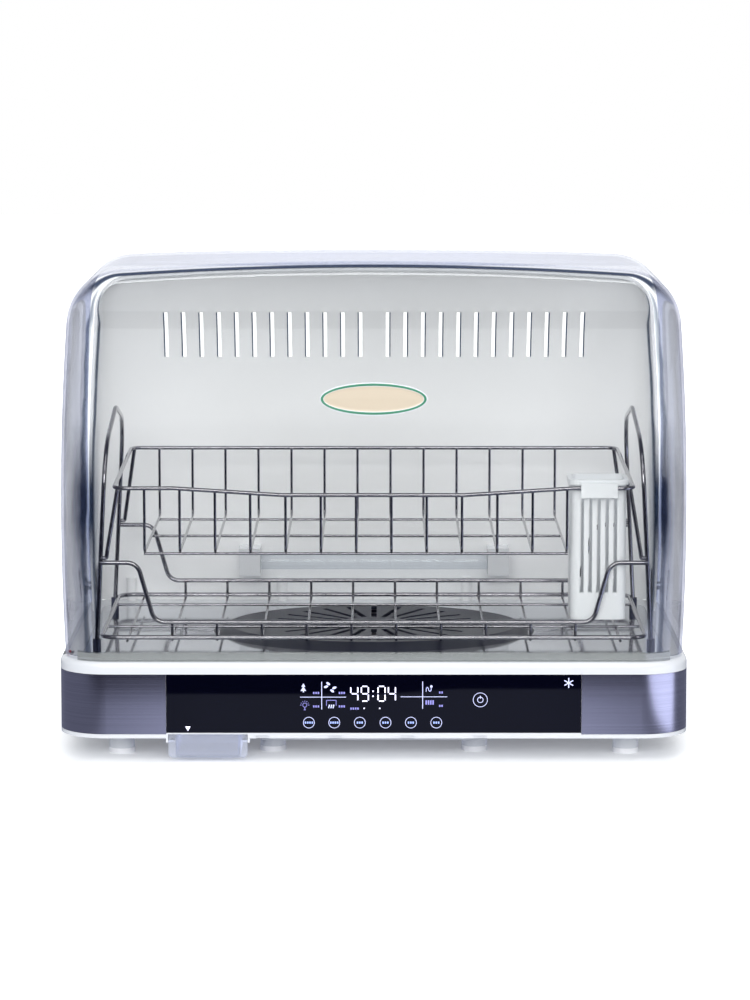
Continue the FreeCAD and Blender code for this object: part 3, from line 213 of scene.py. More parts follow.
def bumped(nodes, links, shader, height, strength, distance):
    node = nodes.new("ShaderNodeBump")
    node.inputs["Strength"].default_value = strength
    node.inputs["Distance"].default_value = distance
    links.new(height, node.inputs["Height"])
    links.new(node.outputs["Normal"], shader.inputs["Normal"])


def moulded(name, colour, roughness, grain=900, bump=0.05, mottle=0.03, coat=0.0):
    # plastic, rubber or paint with a fine moulded grain and a slight unevenness of tone
    material, nodes, links, shader = newMaterial(name)
    tone = objectPattern(nodes, links, 14)
    dark = tuple(c * (1 - mottle) for c in colour)
    links.new(ramp(nodes, links, tone, (0.3, dark), (0.7, colour)), shader.inputs["Base Color"])
    fine = objectPattern(nodes, links, grain, detail=2.0)
    links.new(spread(nodes, links, fine, roughness * 0.85, roughness * 1.15),
              shader.inputs["Roughness"])
    bumped(nodes, links, shader, fine, bump, 0.0004)
    shader.inputs["Coat Weight"].default_value = coat
    shader.inputs["Coat Roughness"].default_value = 0.05
    return material


def metal(name, colour, roughness, stretch, scale=60, bump=0.04, shade=0.12):
    # metal with brush or drawing marks that run along one way
    material, nodes, links, shader = newMaterial(name)
    marks = objectPattern(nodes, links, scale, stretch, detail=6.0)
    dark = tuple(c * (1 - shade) for c in colour)
    links.new(ramp(nodes, links, marks, (0.35, dark), (0.65, colour)), shader.inputs["Base Color"])
    links.new(spread(nodes, links, marks, roughness * 0.8, roughness * 1.2),
              shader.inputs["Roughness"])
    bumped(nodes, links, shader, marks, bump, 0.0003)
    shader.inputs["Metallic"].default_value = 1.0
    return material


# camera

print("camera")

camera = {
    "place": (0.0034, -3.3466, 0.6590),
    "aim": (0.0011, -0.175, 0.2298),
    "lens": 133.6,
}

deselectAll()
bpy.ops.object.camera_add(location=camera["place"])
cameraObject = named("studioCamera")
cameraObject.data.lens = camera["lens"]
cameraObject.data.sensor_width = 36
cameraObject.data.clip_end = 60
cameraObject.rotation_euler = facing(camera["place"], camera["aim"])
scene.camera = cameraObject
scene.view_settings.view_transform = "Standard"


# studio: world, floor and lamps

print("studio")

studio = {
    "worldStrength": 0.60,
    "worldColour": (0.93, 0.96, 1.0),
    "roomColour": (0.13, 0.135, 0.18),
    "wallColour": (0.94, 0.96, 1.0),
    "wallTurn": (0.45, 0.85),
    "floorSize": 16.0,
    "floorColour": (0.86, 0.87, 0.88),
    "nearFill": 0.16,
    "farFill": 1.0,
    "footprint": (0.25, 0.165),
    "fadeLength": 0.075,
    # the floor's glow in gloss is painted reflection for the glass and metal
    "glossFloor": (0.66, 0.71, 0.95),
    "glossPaper": (-0.491, 0.14, 0.34),
    "paperBlur": 0.005,
    "paperStep": (0.00, 0.09, 0.026),
    "sideShare": 0.30,
    "beyondPaper": (0.01, 0.01, 0.03),
    # a painted glow on the floor to the right, seen only in gloss, for a painted highlight on the
    # trim
    "glossPatchSpan": (0.35, 0.40),
    "glossPatchEnds": (-0.90, -0.75, -0.20, -0.12),
    "glossPatchGlow": 1.5,
    "softboxes": {
        "keySoftbox": ((0.2, -1.5, 2.2), (0, 0, 0.15), (2.2, 1.6), 16.0),
        "fillSoftbox": ((-1.2, -1.8, 1.3), (0, 0, 0.2), (1.4, 1.4), 8.0),
        "frontSoftbox": ((0, -3.9, 1.5), (0, 0, 0.2), (2.6, 1.2), 66.0),
        "rightStrip": ((1.5, -1.0, 0.7), (0.25, -0.1, 0.1), (0.5, 1.4), 4.0),
    },
}


def buildWorld():
    world = bpy.data.worlds.new("studioWorld")
    scene.world = world
    world.use_nodes = True
    nodes, links = world.node_tree.nodes, world.node_tree.links
    lit = nodes["Background"]
    lit.inputs["Color"].default_value = (*studio["worldColour"], 1)
    lit.inputs["Strength"].default_value = studio["worldStrength"]
    # gloss sees a dark room on the camera's side and white walls behind the cabinet
    walls = nodes.new("ShaderNodeBackground")
    rearward = smoothStep(nodes, links, axesOf(nodes, links, "Generated")["Y"],
                          *studio["wallTurn"])
    links.new(ramp(nodes, links, rearward, (0.0, studio["roomColour"]),
                   (1.0, studio["wallColour"])), walls.inputs["Color"])
    white = nodes.new("ShaderNodeBackground")
    white.inputs["Color"].default_value = (1, 1, 1, 1)
    rays = nodes.new("ShaderNodeLightPath")
    seen = mathNode(nodes, links, "MAXIMUM", rays.outputs["Is Camera Ray"],
                    rays.outputs["Is Transmission Ray"])
    around = mixedShader(nodes, links, rays.outputs["Is Glossy Ray"], lit.outputs[0],
                         walls.outputs[0])
    links.new(mixedShader(nodes, links, seen, around, white.outputs[0]),
              nodes["World Output"].inputs["Surface"])


def buildFloor():
    deselectAll()
    bpy.ops.mesh.primitive_plane_add(size=studio["floorSize"], location=(0, 0, 0))
    floor = named("studioFloor")
    material, nodes, links, shader = newMaterial("floorPaper")
    shader.inputs["Base Color"].default_value = (*studio["floorColour"], 1)
    shader.inputs["Roughness"].default_value = 0.9
    shader.inputs["Specular IOR Level"].default_value = 0.1
    rays = nodes.new("ShaderNodeLightPath")
    axes = axesOf(nodes, links)
    sideways = mathNode(nodes, links, "ABSOLUTE", axes["X"])
    lengthways = mathNode(nodes, links, "ABSOLUTE", axes["Y"])
    # painted shade and the floor's even white: the floor glows for the camera, but the glow is held
    # low near the cabinet so the floor stays darker around its real shadow, and turns pure white a
    # little way out
    halfWide, halfDeep = studio["footprint"]
    away = mathNode(nodes, links, "MAXIMUM",
                    mathNode(nodes, links, "SUBTRACT", sideways, halfWide),
                    mathNode(nodes, links, "SUBTRACT", lengthways, halfDeep))
    fill = smoothStep(nodes, links, away, 0.0, studio["fadeLength"], studio["nearFill"],
                      studio["farFill"])
    shader.inputs["Emission Color"].default_value = (1, 1, 1, 1)
    links.new(mathNode(nodes, links, "MULTIPLY", fill, rays.outputs["Is Camera Ray"]),
              shader.inputs["Emission Strength"])
    # painted reflection: gloss sees the floor glow white only up to a little in front of the
    # cabinet and fade toward its sides, and nearly black beyond
    front, centre, side = studio["glossPaper"]
    low, high, rise = studio["paperStep"]
    longer = smoothStep(nodes, links, axes["X"], low, high, 0.0, rise)
    inFront = smoothStep(nodes, links, mathNode(nodes, links, "ADD", axes["Y"], longer),
                         front - studio["paperBlur"], front + studio["paperBlur"])
    inside = smoothStep(nodes, links, sideways, centre, side, 1.0, studio["sideShare"])
    # and a brighter painted glow on the floor to the right of the cabinet, seen only in gloss, that
    # paints a highlight on the trim's right corner
    patchStart, patchFull, patchFade, patchEnd = studio["glossPatchEnds"]
    beside = mathNode(nodes, links, "MULTIPLY",
                      smoothStep(nodes, links, axes["Y"], patchFade, patchEnd, 1.0, 0.0),
                      smoothStep(nodes, links, axes["Y"], patchStart, patchFull))
    glossOnlyPatch = mathNode(nodes, links, "MULTIPLY", beside,
                    smoothStep(nodes, links, axes["X"], *studio["glossPatchSpan"]))
    seen = mathNode(nodes, links, "MAXIMUM", mathNode(nodes, links, "MULTIPLY", inFront, inside),
                    glossOnlyPatch)
    paper = nodes.new("ShaderNodeEmission")
    links.new(ramp(nodes, links, seen, (0.0, studio["beyondPaper"]), (1.0, studio["glossFloor"])),
              paper.inputs["Color"])
    links.new(mathNode(nodes, links, "MULTIPLY_ADD", glossOnlyPatch, studio["glossPatchGlow"], 1.0),
              paper.inputs["Strength"])
    links.new(mixedShader(nodes, links, rays.outputs["Is Glossy Ray"], shader.outputs[0],
                          paper.outputs[0]), nodes["Material Output"].inputs["Surface"])
    floor.data.materials.append(material)


def softbox(name, place, aim, size, power):
    deselectAll()
    bpy.ops.object.light_add(type="AREA", location=place)
    lamp = bpy.context.object
    lamp.name = name
    lamp.data.shape = "RECTANGLE"
    lamp.data.size, lamp.data.size_y = size
    lamp.data.energy = power
    lamp.rotation_euler = facing(place, aim)


buildWorld()
buildFloor()
for name, (place, aim, size, power) in studio["softboxes"].items():
    softbox(name, place, aim, size, power)


# finishes of the carried-over pieces

print("finishes")


def brushedTrim():
    material = metal("brushedTrim", (0.42, 0.41, 0.47), 0.20, (0.04, 0.04, 26), 70, 0.03, 0.14)
    shader = material.node_tree.nodes["Principled BSDF"]
    shader.inputs["Anisotropic"].default_value = 0.5
    return material


def blackGlass():
    glass = {"colour": (0.0010, 0.0012, 0.0055), "roughness": 0.035}
    material, nodes, links, shader = newMaterial("blackGlass")
    tone = objectPattern(nodes, links, 8)
    links.new(ramp(nodes, links, tone, (0.3, tuple(c * 0.8 for c in glass["colour"])),
                   (0.7, glass["colour"])), shader.inputs["Base Color"])
    smear = objectPattern(nodes, links, 40, (1, 1, 3))
    links.new(spread(nodes, links, smear, glass["roughness"] * 0.6, glass["roughness"] * 1.4),
              shader.inputs["Roughness"])
    shader.inputs["Specular IOR Level"].default_value = 0.21
    return material


def lampsPass(nodes, links, colour):
    # the tint that lamps cast through a clear wall stays light at every angle
    rays = nodes.new("ShaderNodeLightPath")
    return mixedColour(nodes, links, rays.outputs["Is Shadow Ray"], colour, (0.985, 0.985, 0.99, 1))


def multiplied(nodes, links, first, second):
    return mixedColour(nodes, links, 1.0, first, second, "MULTIPLY")


# painted reflections in the tint of the hood's rounded edges: dark and pale streaks, from where its
# wall faces forward (0) to where it faces sideways (1)
paintedCornerStreaks = {
    "upright": [
        (0.03, (1, 1, 1)), (0.14, (0.56, 0.59, 0.65)), (0.20, (0.035, 0.05, 0.09)),
        (0.28, (0.035, 0.05, 0.09)), (0.31, (0.38, 0.41, 0.49)), (0.34, (0.38, 0.41, 0.49)),
        (0.37, (0.03, 0.04, 0.075)), (0.48, (0.04, 0.05, 0.09)), (0.57, (0.26, 0.27, 0.31)),
        (0.68, (0.54, 0.54, 0.55)), (0.82, (0.70, 0.69, 0.69)), (0.93, (0.95, 0.95, 0.99))],
    "upper": [
        (0.03, (1, 1, 1)), (0.14, (0.95, 0.96, 0.98)), (0.17, (0.17, 0.20, 0.27)),
        (0.20, (0.17, 0.20, 0.27)), (0.23, (0.93, 0.94, 0.98)), (0.34, (0.97, 0.97, 1.0)),
        (0.37, (0.60, 0.63, 0.68)), (0.42, (0.28, 0.31, 0.37)), (0.45, (0.28, 0.31, 0.37)),
        (0.49, (0.86, 0.86, 0.89)), (0.68, (0.84, 0.84, 0.86)), (0.82, (0.74, 0.73, 0.74)),
        (0.93, (0.95, 0.95, 0.99))],
    "brow": [
        (0.04, (1, 1, 1)), (0.14, (0.86, 0.87, 0.88)), (0.22, (0.70, 0.71, 0.73)),
        (0.34, (0.84, 0.85, 0.87)), (0.53, (0.78, 0.80, 0.83)), (0.60, (0.05, 0.065, 0.11)),
        (0.75, (0.05, 0.065, 0.11)), (0.83, (0.97, 0.97, 1.0))],
    "thinnedAtHeight": [(0.12, 0.5), (0.17, 0.4), (0.21, 0.0), (0.24, 0.0), (0.30, 1.0)],
    "browToSide": (0.55, 0.97),
}


def paintedCornerTint(nodes, links):
    # painted reflection: dark and pale streaks that follow the hood's rounded front edges are set
    # into its tint by the way the wall faces, in place of the room that the edges reflect and bend
    axes = axesOf(nodes, links, "Normal")
    side, ahead = (mathNode(nodes, links, "POWER",
                            mathNode(nodes, links, "ABSOLUTE", axes[axis]), 2.0) for axis in "XY")
    # a hair over one, so the flat front never divides by nothing
    across = mathNode(nodes, links, "SUBTRACT", 1.0001, ahead)
    turned = mathNode(nodes, links, "SQRT", across)
    # a slight unevenness keeps the streaks from running dead straight
    wave = mathNode(nodes, links, "SUBTRACT", objectPattern(nodes, links, 60, (1, 1, 0.25)), 0.5)
    sideTurn = mathNode(nodes, links, "MULTIPLY", turned,
                        mathNode(nodes, links, "MULTIPLY_ADD", wave, 0.5, 1.0))
    upright = ramp(nodes, links, sideTurn, *paintedCornerStreaks["upright"])
    upper = ramp(nodes, links, sideTurn, *paintedCornerStreaks["upper"])
    brow = ramp(nodes, links, turned, *paintedCornerStreaks["brow"])
    # toward the top the dark streaks thin out to two lines
    thinned = greyRamp(nodes, links, axesOf(nodes, links)["Z"], *paintedCornerStreaks["thinnedAtHeight"])
    streaks = mixedColour(nodes, links, thinned, upright, upper)
    onSide = smoothStep(nodes, links, mathNode(nodes, links, "DIVIDE", side, across),
                        *paintedCornerStreaks["browToSide"])
    return mixedColour(nodes, links, onSide, brow, streaks)


def clearPlastic(name, clear, edge, gloss=0.03, milk=0.0, paintedCorners=False, mirror=(1, 1, 1)):
    # thin clear plastic: tinted, darker where it is seen along its surface, with a gloss
    material, nodes, links, shader = newMaterial(name)
    layer = nodes.new("ShaderNodeLayerWeight")
    layer.inputs["Blend"].default_value = 0.5
    tint = ramp(nodes, links, layer.outputs["Facing"], (0.0, clear), (0.55, clear), (0.9, edge))
    tone = objectPattern(nodes, links, 5, detail=1.0)
    tint = multiplied(nodes, links, tint, greyRamp(nodes, links, tone, (0.3, 0.985), (0.7, 1.0)))
    # painted reflections of the room along the hood's rounded edges
    if paintedCorners:
        tint = multiplied(nodes, links, tint, paintedCornerTint(nodes, links))
    through = nodes.new("ShaderNodeBsdfTransparent")
    links.new(lampsPass(nodes, links, tint), through.inputs["Color"])
    body = through.outputs[0]
    if milk:
        haze = nodes.new("ShaderNodeBsdfDiffuse")
        haze.inputs["Color"].default_value = (*clear, 1)
        body = mixedShader(nodes, links, milk, body, haze.outputs[0])
    sheen = nodes.new("ShaderNodeBsdfGlossy")
    sheen.inputs["Color"].default_value = (*mirror, 1)
    smear = objectPattern(nodes, links, 25)
    links.new(spread(nodes, links, smear, gloss * 0.6, gloss * 1.4), sheen.inputs["Roughness"])
    # the gloss grows toward grazing angles alike on both sides of the wall
    rise = mathNode(nodes, links, "POWER", layer.outputs["Facing"], 5.0)
    share = mathNode(nodes, links, "MULTIPLY_ADD", rise, 0.80, 0.04)
    rays = nodes.new("ShaderNodeLightPath")
    lit = mathNode(nodes, links, "SUBTRACT", 1.0, rays.outputs["Is Shadow Ray"])
    links.new(mixedShader(nodes, links, mathNode(nodes, links, "MULTIPLY", share, lit), body,
                          sheen.outputs[0]), nodes["Material Output"].inputs["Surface"])
    nodes.remove(shader)
    return material


def glowing(name, colour, strength):
    material, nodes, links, shader = newMaterial(name)
    tone = objectPattern(nodes, links, 300)
    shade = ramp(nodes, links, tone, (0.3, tuple(c * 0.9 for c in colour)), (0.7, colour))
    links.new(shade, shader.inputs["Base Color"])
    links.new(shade, shader.inputs["Emission Color"])
    shader.inputs["Emission Strength"].default_value = strength
    shader.inputs["Roughness"].default_value = 0.4
    return material


finishes = {
    "white_abs": moulded("whitePlastic", (0.74, 0.755, 0.785), 0.24, coat=0.25),
    "white_pp": moulded("holderPlastic", (0.85, 0.87, 0.90), 0.34),
    "brushed_trim": brushedTrim(),
    "black_glass": blackGlass(),
    "stainless": metal("polishedDeck", (0.64, 0.66, 0.70), 0.09, (1, 8, 1), 30, 0.02, 0.06),
    "rack_wire": metal("chromeWire", (0.33, 0.325, 0.35), 0.13, (1, 1, 1), 140, 0.03, 0.10),
    "dark_cover": moulded("darkPlastic", (0.012, 0.014, 0.03), 0.38, 1400, 0.1, 0.2),
    "motor_steel": metal("motorSteel", (0.35, 0.36, 0.38), 0.4, (1, 1, 6)),
    "heater_fins": metal("heaterFins", (0.72, 0.72, 0.73), 0.35, (6, 1, 1)),
    "foot_rubber": moulded("footRubber", (0.98, 0.98, 1.0), 0.55, 1800, 0.15),
    "rack_rubber": moulded("rackRubber", (0.03, 0.035, 0.07), 0.5, 1800, 0.15, 0.2),
    "clear_box": clearPlastic("clearBox", (0.90, 0.92, 0.98), (0.66, 0.71, 0.88), milk=0.20),
    "smoke_hood": clearPlastic("hoodClear", (0.945, 0.95, 0.93), (0.94, 0.945, 0.97),
                               paintedCorners=True),
    "clear_bead": clearPlastic("beadClear", (0.72, 0.74, 0.735), (0.55, 0.57, 0.60), 0.08,
                               milk=0.2),
    "badge_cream": moulded("badgeCream", (0.62, 0.53, 0.41), 0.30, coat=0.1),
    "circuit_board": moulded("boardGreen", (0.03, 0.20, 0.09), 0.35, 700, 0.1, 0.25),
    "relay_blue": moulded("relayBlue", (0.06, 0.16, 0.45), 0.35),
    "led_violet": glowing("digitGlow", (0.62, 0.62, 1.0), 1.5),
    "brass": metal("springBrass", (0.70, 0.52, 0.24), 0.3, (1, 1, 1), 200),
    "red_plastic": moulded("switchRed", (0.45, 0.02, 0.02), 0.3),
    "lamp_tube": clearPlastic("lampTube", (0.93, 0.95, 0.97), (0.72, 0.76, 0.82)),
}

casingLook = {
    "colour": (0.92, 0.925, 0.935), "roughness": 0.42, "sheen": 0.12,
    "browFoot": 0.312, "browHeight": 0.100,
    "paintedShadeByHeight": [(0.20, 1.0), (0.37, 0.985), (0.385, 0.91), (0.545, 0.90), (0.56, 0.97),
              (0.72, 0.96), (0.86, 0.91), (0.95, 0.86), (1.0, 0.80)],
}


def casingPlastic():
    # white plastic with painted shade: it greys toward the top of the brow, and a slightly darker
    # painted band of shade crosses it
    material = moulded("casingPlastic", casingLook["colour"], casingLook["roughness"])
    nodes, links = material.node_tree.nodes, material.node_tree.links
    shader = nodes["Principled BSDF"]
    above = mathNode(nodes, links, "SUBTRACT", axesOf(nodes, links)["Z"], casingLook["browFoot"])
    height = mathNode(nodes, links, "DIVIDE", above, casingLook["browHeight"])
    plain = shader.inputs["Base Color"].links[0].from_socket
    links.new(multiplied(nodes, links, plain, greyRamp(nodes, links, height, *casingLook["paintedShadeByHeight"])),
              shader.inputs["Base Color"])
    shader.inputs["Specular IOR Level"].default_value = casingLook["sheen"]
    return material


for nodeName, item in nodeObjects.items():
    item.data.materials.clear()
    item.data.materials.append(finishes[slotOfNode[nodeName]])
nodeObjects["rear_casing"].data.materials[0] = casingPlastic()


# painted shade: dark strips, laid inside the casing wall along the outer edge of each slot, stand
# in for the shade and dark reflection on the slot's white side wall

print("slot ribs")

slotShadeForm = {
    "edge": 0.0155, "width": 0.0012, "pitch": 0.01665, "count": 12, "heights": (0.3222, 0.3658),
    "bendAxis": (-0.025, 0.266), "radii": (0.1878, 0.1898), "steps": 10,
}


def makeSlotEdgeShade():
    low, high = slotShadeForm["heights"]
    near, far = slotShadeForm["radii"]
    axisY, axisZ = slotShadeForm["bendAxis"]
    deselectAll()
    bpy.ops.mesh.primitive_cube_add(size=1,
                                    location=(slotShadeForm["edge"] - slotShadeForm["width"] / 2, 0, 0))
    piece = named("slot_edge_shade")
    piece.scale = (slotShadeForm["width"], 1, 1)
    bpy.ops.object.transform_apply(location=True, rotation=True, scale=True)
    bpy.ops.object.mode_set(mode="EDIT")
    for step in range(1, slotShadeForm["steps"]):
        bpy.ops.mesh.select_all(action="SELECT")
        bpy.ops.mesh.bisect(plane_co=(0, 0, step / slotShadeForm["steps"] - 0.5), plane_no=(0, 0, 1))
    bpy.ops.object.mode_set(mode="OBJECT")
    # each point is laid on the casing's bend, inside the thickness of its wall
    for vertex in piece.data.vertices:
        height = low + (vertex.co.z + 0.5) * (high - low)
        radius = far if vertex.co.y > 0 else near
        vertex.co.y = axisY + math.sqrt(radius ** 2 - (height - axisZ) ** 2)
        vertex.co.z = height
    row = piece.modifiers.new("Row", "ARRAY")
    row.count = slotShadeForm["count"]
    row.use_relative_offset = False
    row.use_constant_offset = True
    row.constant_offset_displace = (slotShadeForm["pitch"], 0, 0)
    piece.modifiers.new("OtherSide", "MIRROR")
    applyAll(piece)
    # the dark blue of these strips is painted shade, not the casing's own colour
    settle(piece, "cabinet", moulded("slotEdgeShadePlastic", (0.10, 0.13, 0.20), 0.45))


makeSlotEdgeShade()


# clear hood

print("hood")

hoodForm = {
    "foot": 0.2705, "shoulder": 0.2630, "low": 0.090, "shoulderZ": 0.4242,
    "sideRadius": 2.330, "crownRadius": 3.209, "corner": 0.052,
    "front": -0.171, "upright": 0.038, "brow": 0.012, "wall": 0.0025,
    "crest": -0.025, "fall": 0.457, "crestBlend": 0.0015,
    "cornerTries": 60, "sidePoints": 26, "cornerPoints": 16, "crownPoints": 40,
    "rimRows": 12, "depthRows": 30,
    "pivot": (0.135, 0.106), "ear": 0.0155, "earTop": 0.152, "waist": (0.122, 0.330),
    "rear": 0.112,
}


def hoodRear(height):
    # how far back the hood's side reaches at each height
    pivotY, pivotZ = hoodForm["pivot"]
    ear, waistY, waistZ = hoodForm["ear"], *hoodForm["waist"]
    if height < pivotZ:
        return pivotY + math.sqrt(max(ear ** 2 - (pivotZ - height) ** 2, 0))
    if height < hoodForm["earTop"]:
        return pivotY + ear
    if height < waistZ:
        share = (height - hoodForm["earTop"]) / (waistZ - hoodForm["earTop"])
        return pivotY + ear + share * (waistY - pivotY - ear)
    share = min((height - waistZ) / ear, 1)
    return waistY + share * (hoodForm["rear"] - waistY)


def hoodOutline():
    # points and outward normals of the hood's front view, from the left foot to the right one
    foot, shoulder = hoodForm["foot"], hoodForm["shoulder"]
    low, high, radius = hoodForm["low"], hoodForm["shoulderZ"], hoodForm["sideRadius"]
    chord = math.hypot(foot - shoulder, high - low)
    lean = math.atan2(foot - shoulder, high - low)
    reach = math.sqrt(radius ** 2 - (chord / 2) ** 2)
    sideX = (foot + shoulder) / 2 - reach * math.cos(lean)
    sideZ = (low + high) / 2 - reach * math.sin(lean)
    crown = hoodForm["crownRadius"]
    crownZ = high - math.sqrt(crown ** 2 - shoulder ** 2)
    corner = hoodForm["corner"]
    # the corner's centre lies a corner radius inside both the side arc and the crown arc
    centreX, centreZ = shoulder - corner, high - corner
    for _ in range(hoodForm["cornerTries"]):
        side = math.hypot(centreX - sideX, centreZ - sideZ) - (radius - corner)
        top = math.hypot(centreX, centreZ - crownZ) - (crown - corner)
        centreX -= side
        centreZ -= top
    startSide = math.atan2(low - sideZ, foot - sideX)
    endSide = math.atan2(centreZ - sideZ, centreX - sideX)
    endCrown = math.atan2(centreZ - crownZ, centreX)
    half = []
    for step in range(hoodForm["sidePoints"]):
        angle = startSide + (endSide - startSide) * step / hoodForm["sidePoints"]
        half.append((sideX + radius * math.cos(angle), sideZ + radius * math.sin(angle), angle,
                     0.0))
    for step in range(hoodForm["cornerPoints"]):
        share = step / hoodForm["cornerPoints"]
        angle = endSide + (endCrown - endSide) * share
        half.append((centreX + corner * math.cos(angle), centreZ + corner * math.sin(angle), angle,
                     share))
    for step in range(hoodForm["crownPoints"] + 1):
        angle = endCrown + (math.pi / 2 - endCrown) * step / hoodForm["crownPoints"]
        half.append((crown * math.cos(angle), crownZ + crown * math.sin(angle), angle, 1.0))
    left = [(-x, z, math.pi - angle, share) for x, z, angle, share in half]
    return left + half[-2::-1]


def fallenTop(y, z):
    # the top falls away behind its crest and runs softly into the sides below it
    if y <= hoodForm["crest"]:
        return z
    crown, fall, blend = hoodForm["crownRadius"], hoodForm["fall"], hoodForm["crestBlend"]
    crownTop = hoodForm["shoulderZ"] - math.sqrt(crown ** 2 - hoodForm["shoulder"] ** 2) + crown
    limit = crownTop - fall + math.sqrt(fall ** 2 - (y - hoodForm["crest"]) ** 2)
    if limit - z > 4 * blend:
        return z
    return z - blend * math.log1p(math.exp((z - limit) / blend))


def makeHood():
    outline = hoodOutline()
    front, rimRows, depthRows = hoodForm["front"], hoodForm["rimRows"], hoodForm["depthRows"]
    deselectAll()
    bpy.ops.mesh.primitive_grid_add(x_subdivisions=len(outline) - 1,
                                    y_subdivisions=rimRows + depthRows, size=1)
    piece = named("clear_hood")
    for index, vertex in enumerate(piece.data.vertices):
        row, column = divmod(index, len(outline))
        x, z, angle, share = outline[column]
        ease = share * share * (3 - 2 * share)
        radius = hoodForm["upright"] + (hoodForm["brow"] - hoodForm["upright"]) * ease
        if row <= rimRows:
            turn = math.pi / 2 * (1 - row / rimRows)
            inset = radius * (1 - math.cos(turn))
            y = front + radius * (1 - math.sin(turn))
        else:
            inset = 0
            start = front + radius
            y = start + (hoodRear(z) - start) * (row - rimRows) / depthRows
        x, z = x - inset * math.cos(angle), max(z - inset * math.sin(angle), hoodForm["low"])
        vertex.co = (x, y, fallenTop(y, z))
    # the open front ring is closed with one flat pane
    pick(piece)
    bpy.ops.object.mode_set(mode="EDIT")
    bpy.ops.mesh.select_mode(type="EDGE")
    bpy.ops.mesh.select_all(action="DESELECT")
    bpy.ops.object.mode_set(mode="OBJECT")
    places = piece.data.vertices
    for edge in piece.data.edges:
        edge.select = all(places[v].co.y < front + 1e-6 for v in edge.vertices)
    bpy.ops.object.mode_set(mode="EDIT")
    bpy.ops.mesh.edge_face_add()
    bpy.ops.mesh.select_all(action="SELECT")
    bpy.ops.mesh.normals_make_consistent(inside=False)
    bpy.ops.object.mode_set(mode="OBJECT")
    solid = piece.modifiers.new("Wall", "SOLIDIFY")
    solid.thickness = hoodForm["wall"]
    solid.offset = -1
    solid.use_even_offset = True
    solid.material_offset = 1
    solid.material_offset_rim = 2
    # outer face, inner face and cut edge
    for material in (finishes["smoke_hood"],
                     clearPlastic("hoodInner", (1, 1, 1), (0.92, 0.925, 0.96),
                                  mirror=(0.84, 0.86, 0.9)),
                     clearPlastic("hoodRim", (0.66, 0.69, 0.78), (0.45, 0.48, 0.58), milk=0.25)):
        piece.data.materials.append(material)
    applyAll(piece)
    settle(piece, "hood", angle=35)
    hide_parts("hood")


makeHood()


# oval badge on the hood

print("badge")

badgeForm = {"half": (0.0463, 0.0143), "z": 0.317, "back": -0.1711, "thick": 0.0011,
             "rim": 0.0007, "ring": 0.0022, "crown": 0.0003}


def makeBadge():
    wide, tall = badgeForm["half"]
    centre = (0, badgeForm["back"], badgeForm["z"])
    deselectAll()
    bpy.ops.mesh.primitive_cylinder_add(
        vertices=96, radius=1, depth=badgeForm["thick"], rotation=(math.pi / 2, 0, 0),
        location=(0, badgeForm["back"] - badgeForm["thick"] / 2, badgeForm["z"]))
    piece = named("oval_badge")
    piece.scale = (wide, tall, 1)
    bpy.ops.object.transform_apply(location=True, rotation=True, scale=True)
    for material in (moulded("badgeRim", (0.78, 0.80, 0.86), 0.2),
                     moulded("badgeGreen", (0.06, 0.24, 0.145), 0.25, coat=0.1),
                     finishes["badge_cream"]):
        piece.data.materials.append(material)
    editFaces(piece, lambda face: face.normal.y < -0.9)
    # rim, green ring, a fine rim again, then the field, each drawn in from the last
    rim, ring, crown = badgeForm["rim"], badgeForm["ring"], badgeForm["crown"]
    steps = [(0, rim, crown), (1, ring, 0.0), (0, rim / 2, -crown / 2)]
    steps += [(2, tall * 0.2, crown / 3)] * 3
    for slot, width, lift in steps:
        bpy.ops.mesh.extrude_region_move()
        bpy.ops.transform.resize(value=(1 - width / wide, 1, 1 - width / tall),
                                 center_override=centre)
        bpy.ops.transform.translate(value=(0, -lift, 0))
        bpy.ops.mesh.select_more()
        piece.active_material_index = slot
        bpy.ops.object.material_slot_assign()
        bpy.ops.mesh.select_less()
        wide, tall = wide - width, tall - width
    bpy.ops.mesh.select_all(action="SELECT")
    bpy.ops.mesh.normals_make_consistent(inside=False)
    bpy.ops.object.mode_set(mode="OBJECT")
    settle(piece, "hood", angle=40)
    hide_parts("hood_badge")


makeBadge()


# marks on the control glass

print("panel marks")

panelForm = {
    "face": -0.17505, "thick": 0.0001, "dash": (0.0013, 0.0020),
    "keyZ": 0.0345, "keyRadius": 0.0050, "keyLine": 0.00045,
    "keys": [(-0.0564, 4), (-0.0343, 4), (-0.0121, 3), (0.0102, 3), (0.0323, 3), (0.0544, 3)],
    "power": (0.0926, 0.0546, 0.0064),
    "digitZ": 0.0600, "digitHeight": 0.0130, "digitWidth": 0.0061, "digitLine": 0.0010,
    "digits": [(-0.0169, 4), (-0.0077, 9), (0.0068, 0), (0.0158, 4)],
    "colon": [(-0.0006, 0.0578), (-0.0006, 0.0622)], "dots": [(-0.0083, 0.0471), (0.0052, 0.0471)],
    "rules": [(-0.0440, 0.0570, 0.0400), (0.0436, 0.0573, 0.0404)],
    "posts": [(-0.0452, 0.0462, 0.0705), (0.0425, 0.0467, 0.0708)],
    "legends": [(-0.0501, 0.0607, 3), (-0.0277, 0.0607, 3), (-0.0501, 0.0488, 3),
                (-0.0277, 0.0488, 3), (-0.0167, 0.0469, 4), (0.0584, 0.0611, 2),
                (0.0584, 0.0493, 2)],
    "tallLegend": (0.0486, 0.0523), "tree": (-0.0611, 0.0639), "fan": (-0.0378, 0.0657),
    "bulb": (-0.0599, 0.0500), "heater": (-0.0369, 0.0520), "hose": (0.0484, 0.0640),
    "star": (0.1693, 0.0695), "boxMark": (-0.1616, 0.0297),
}

segmentsOfDigit = {0: "abcdef", 4: "fgbc", 9: "abcdfg"}
marks = {"line": [], "bright": [], "dim": [], "key": []}


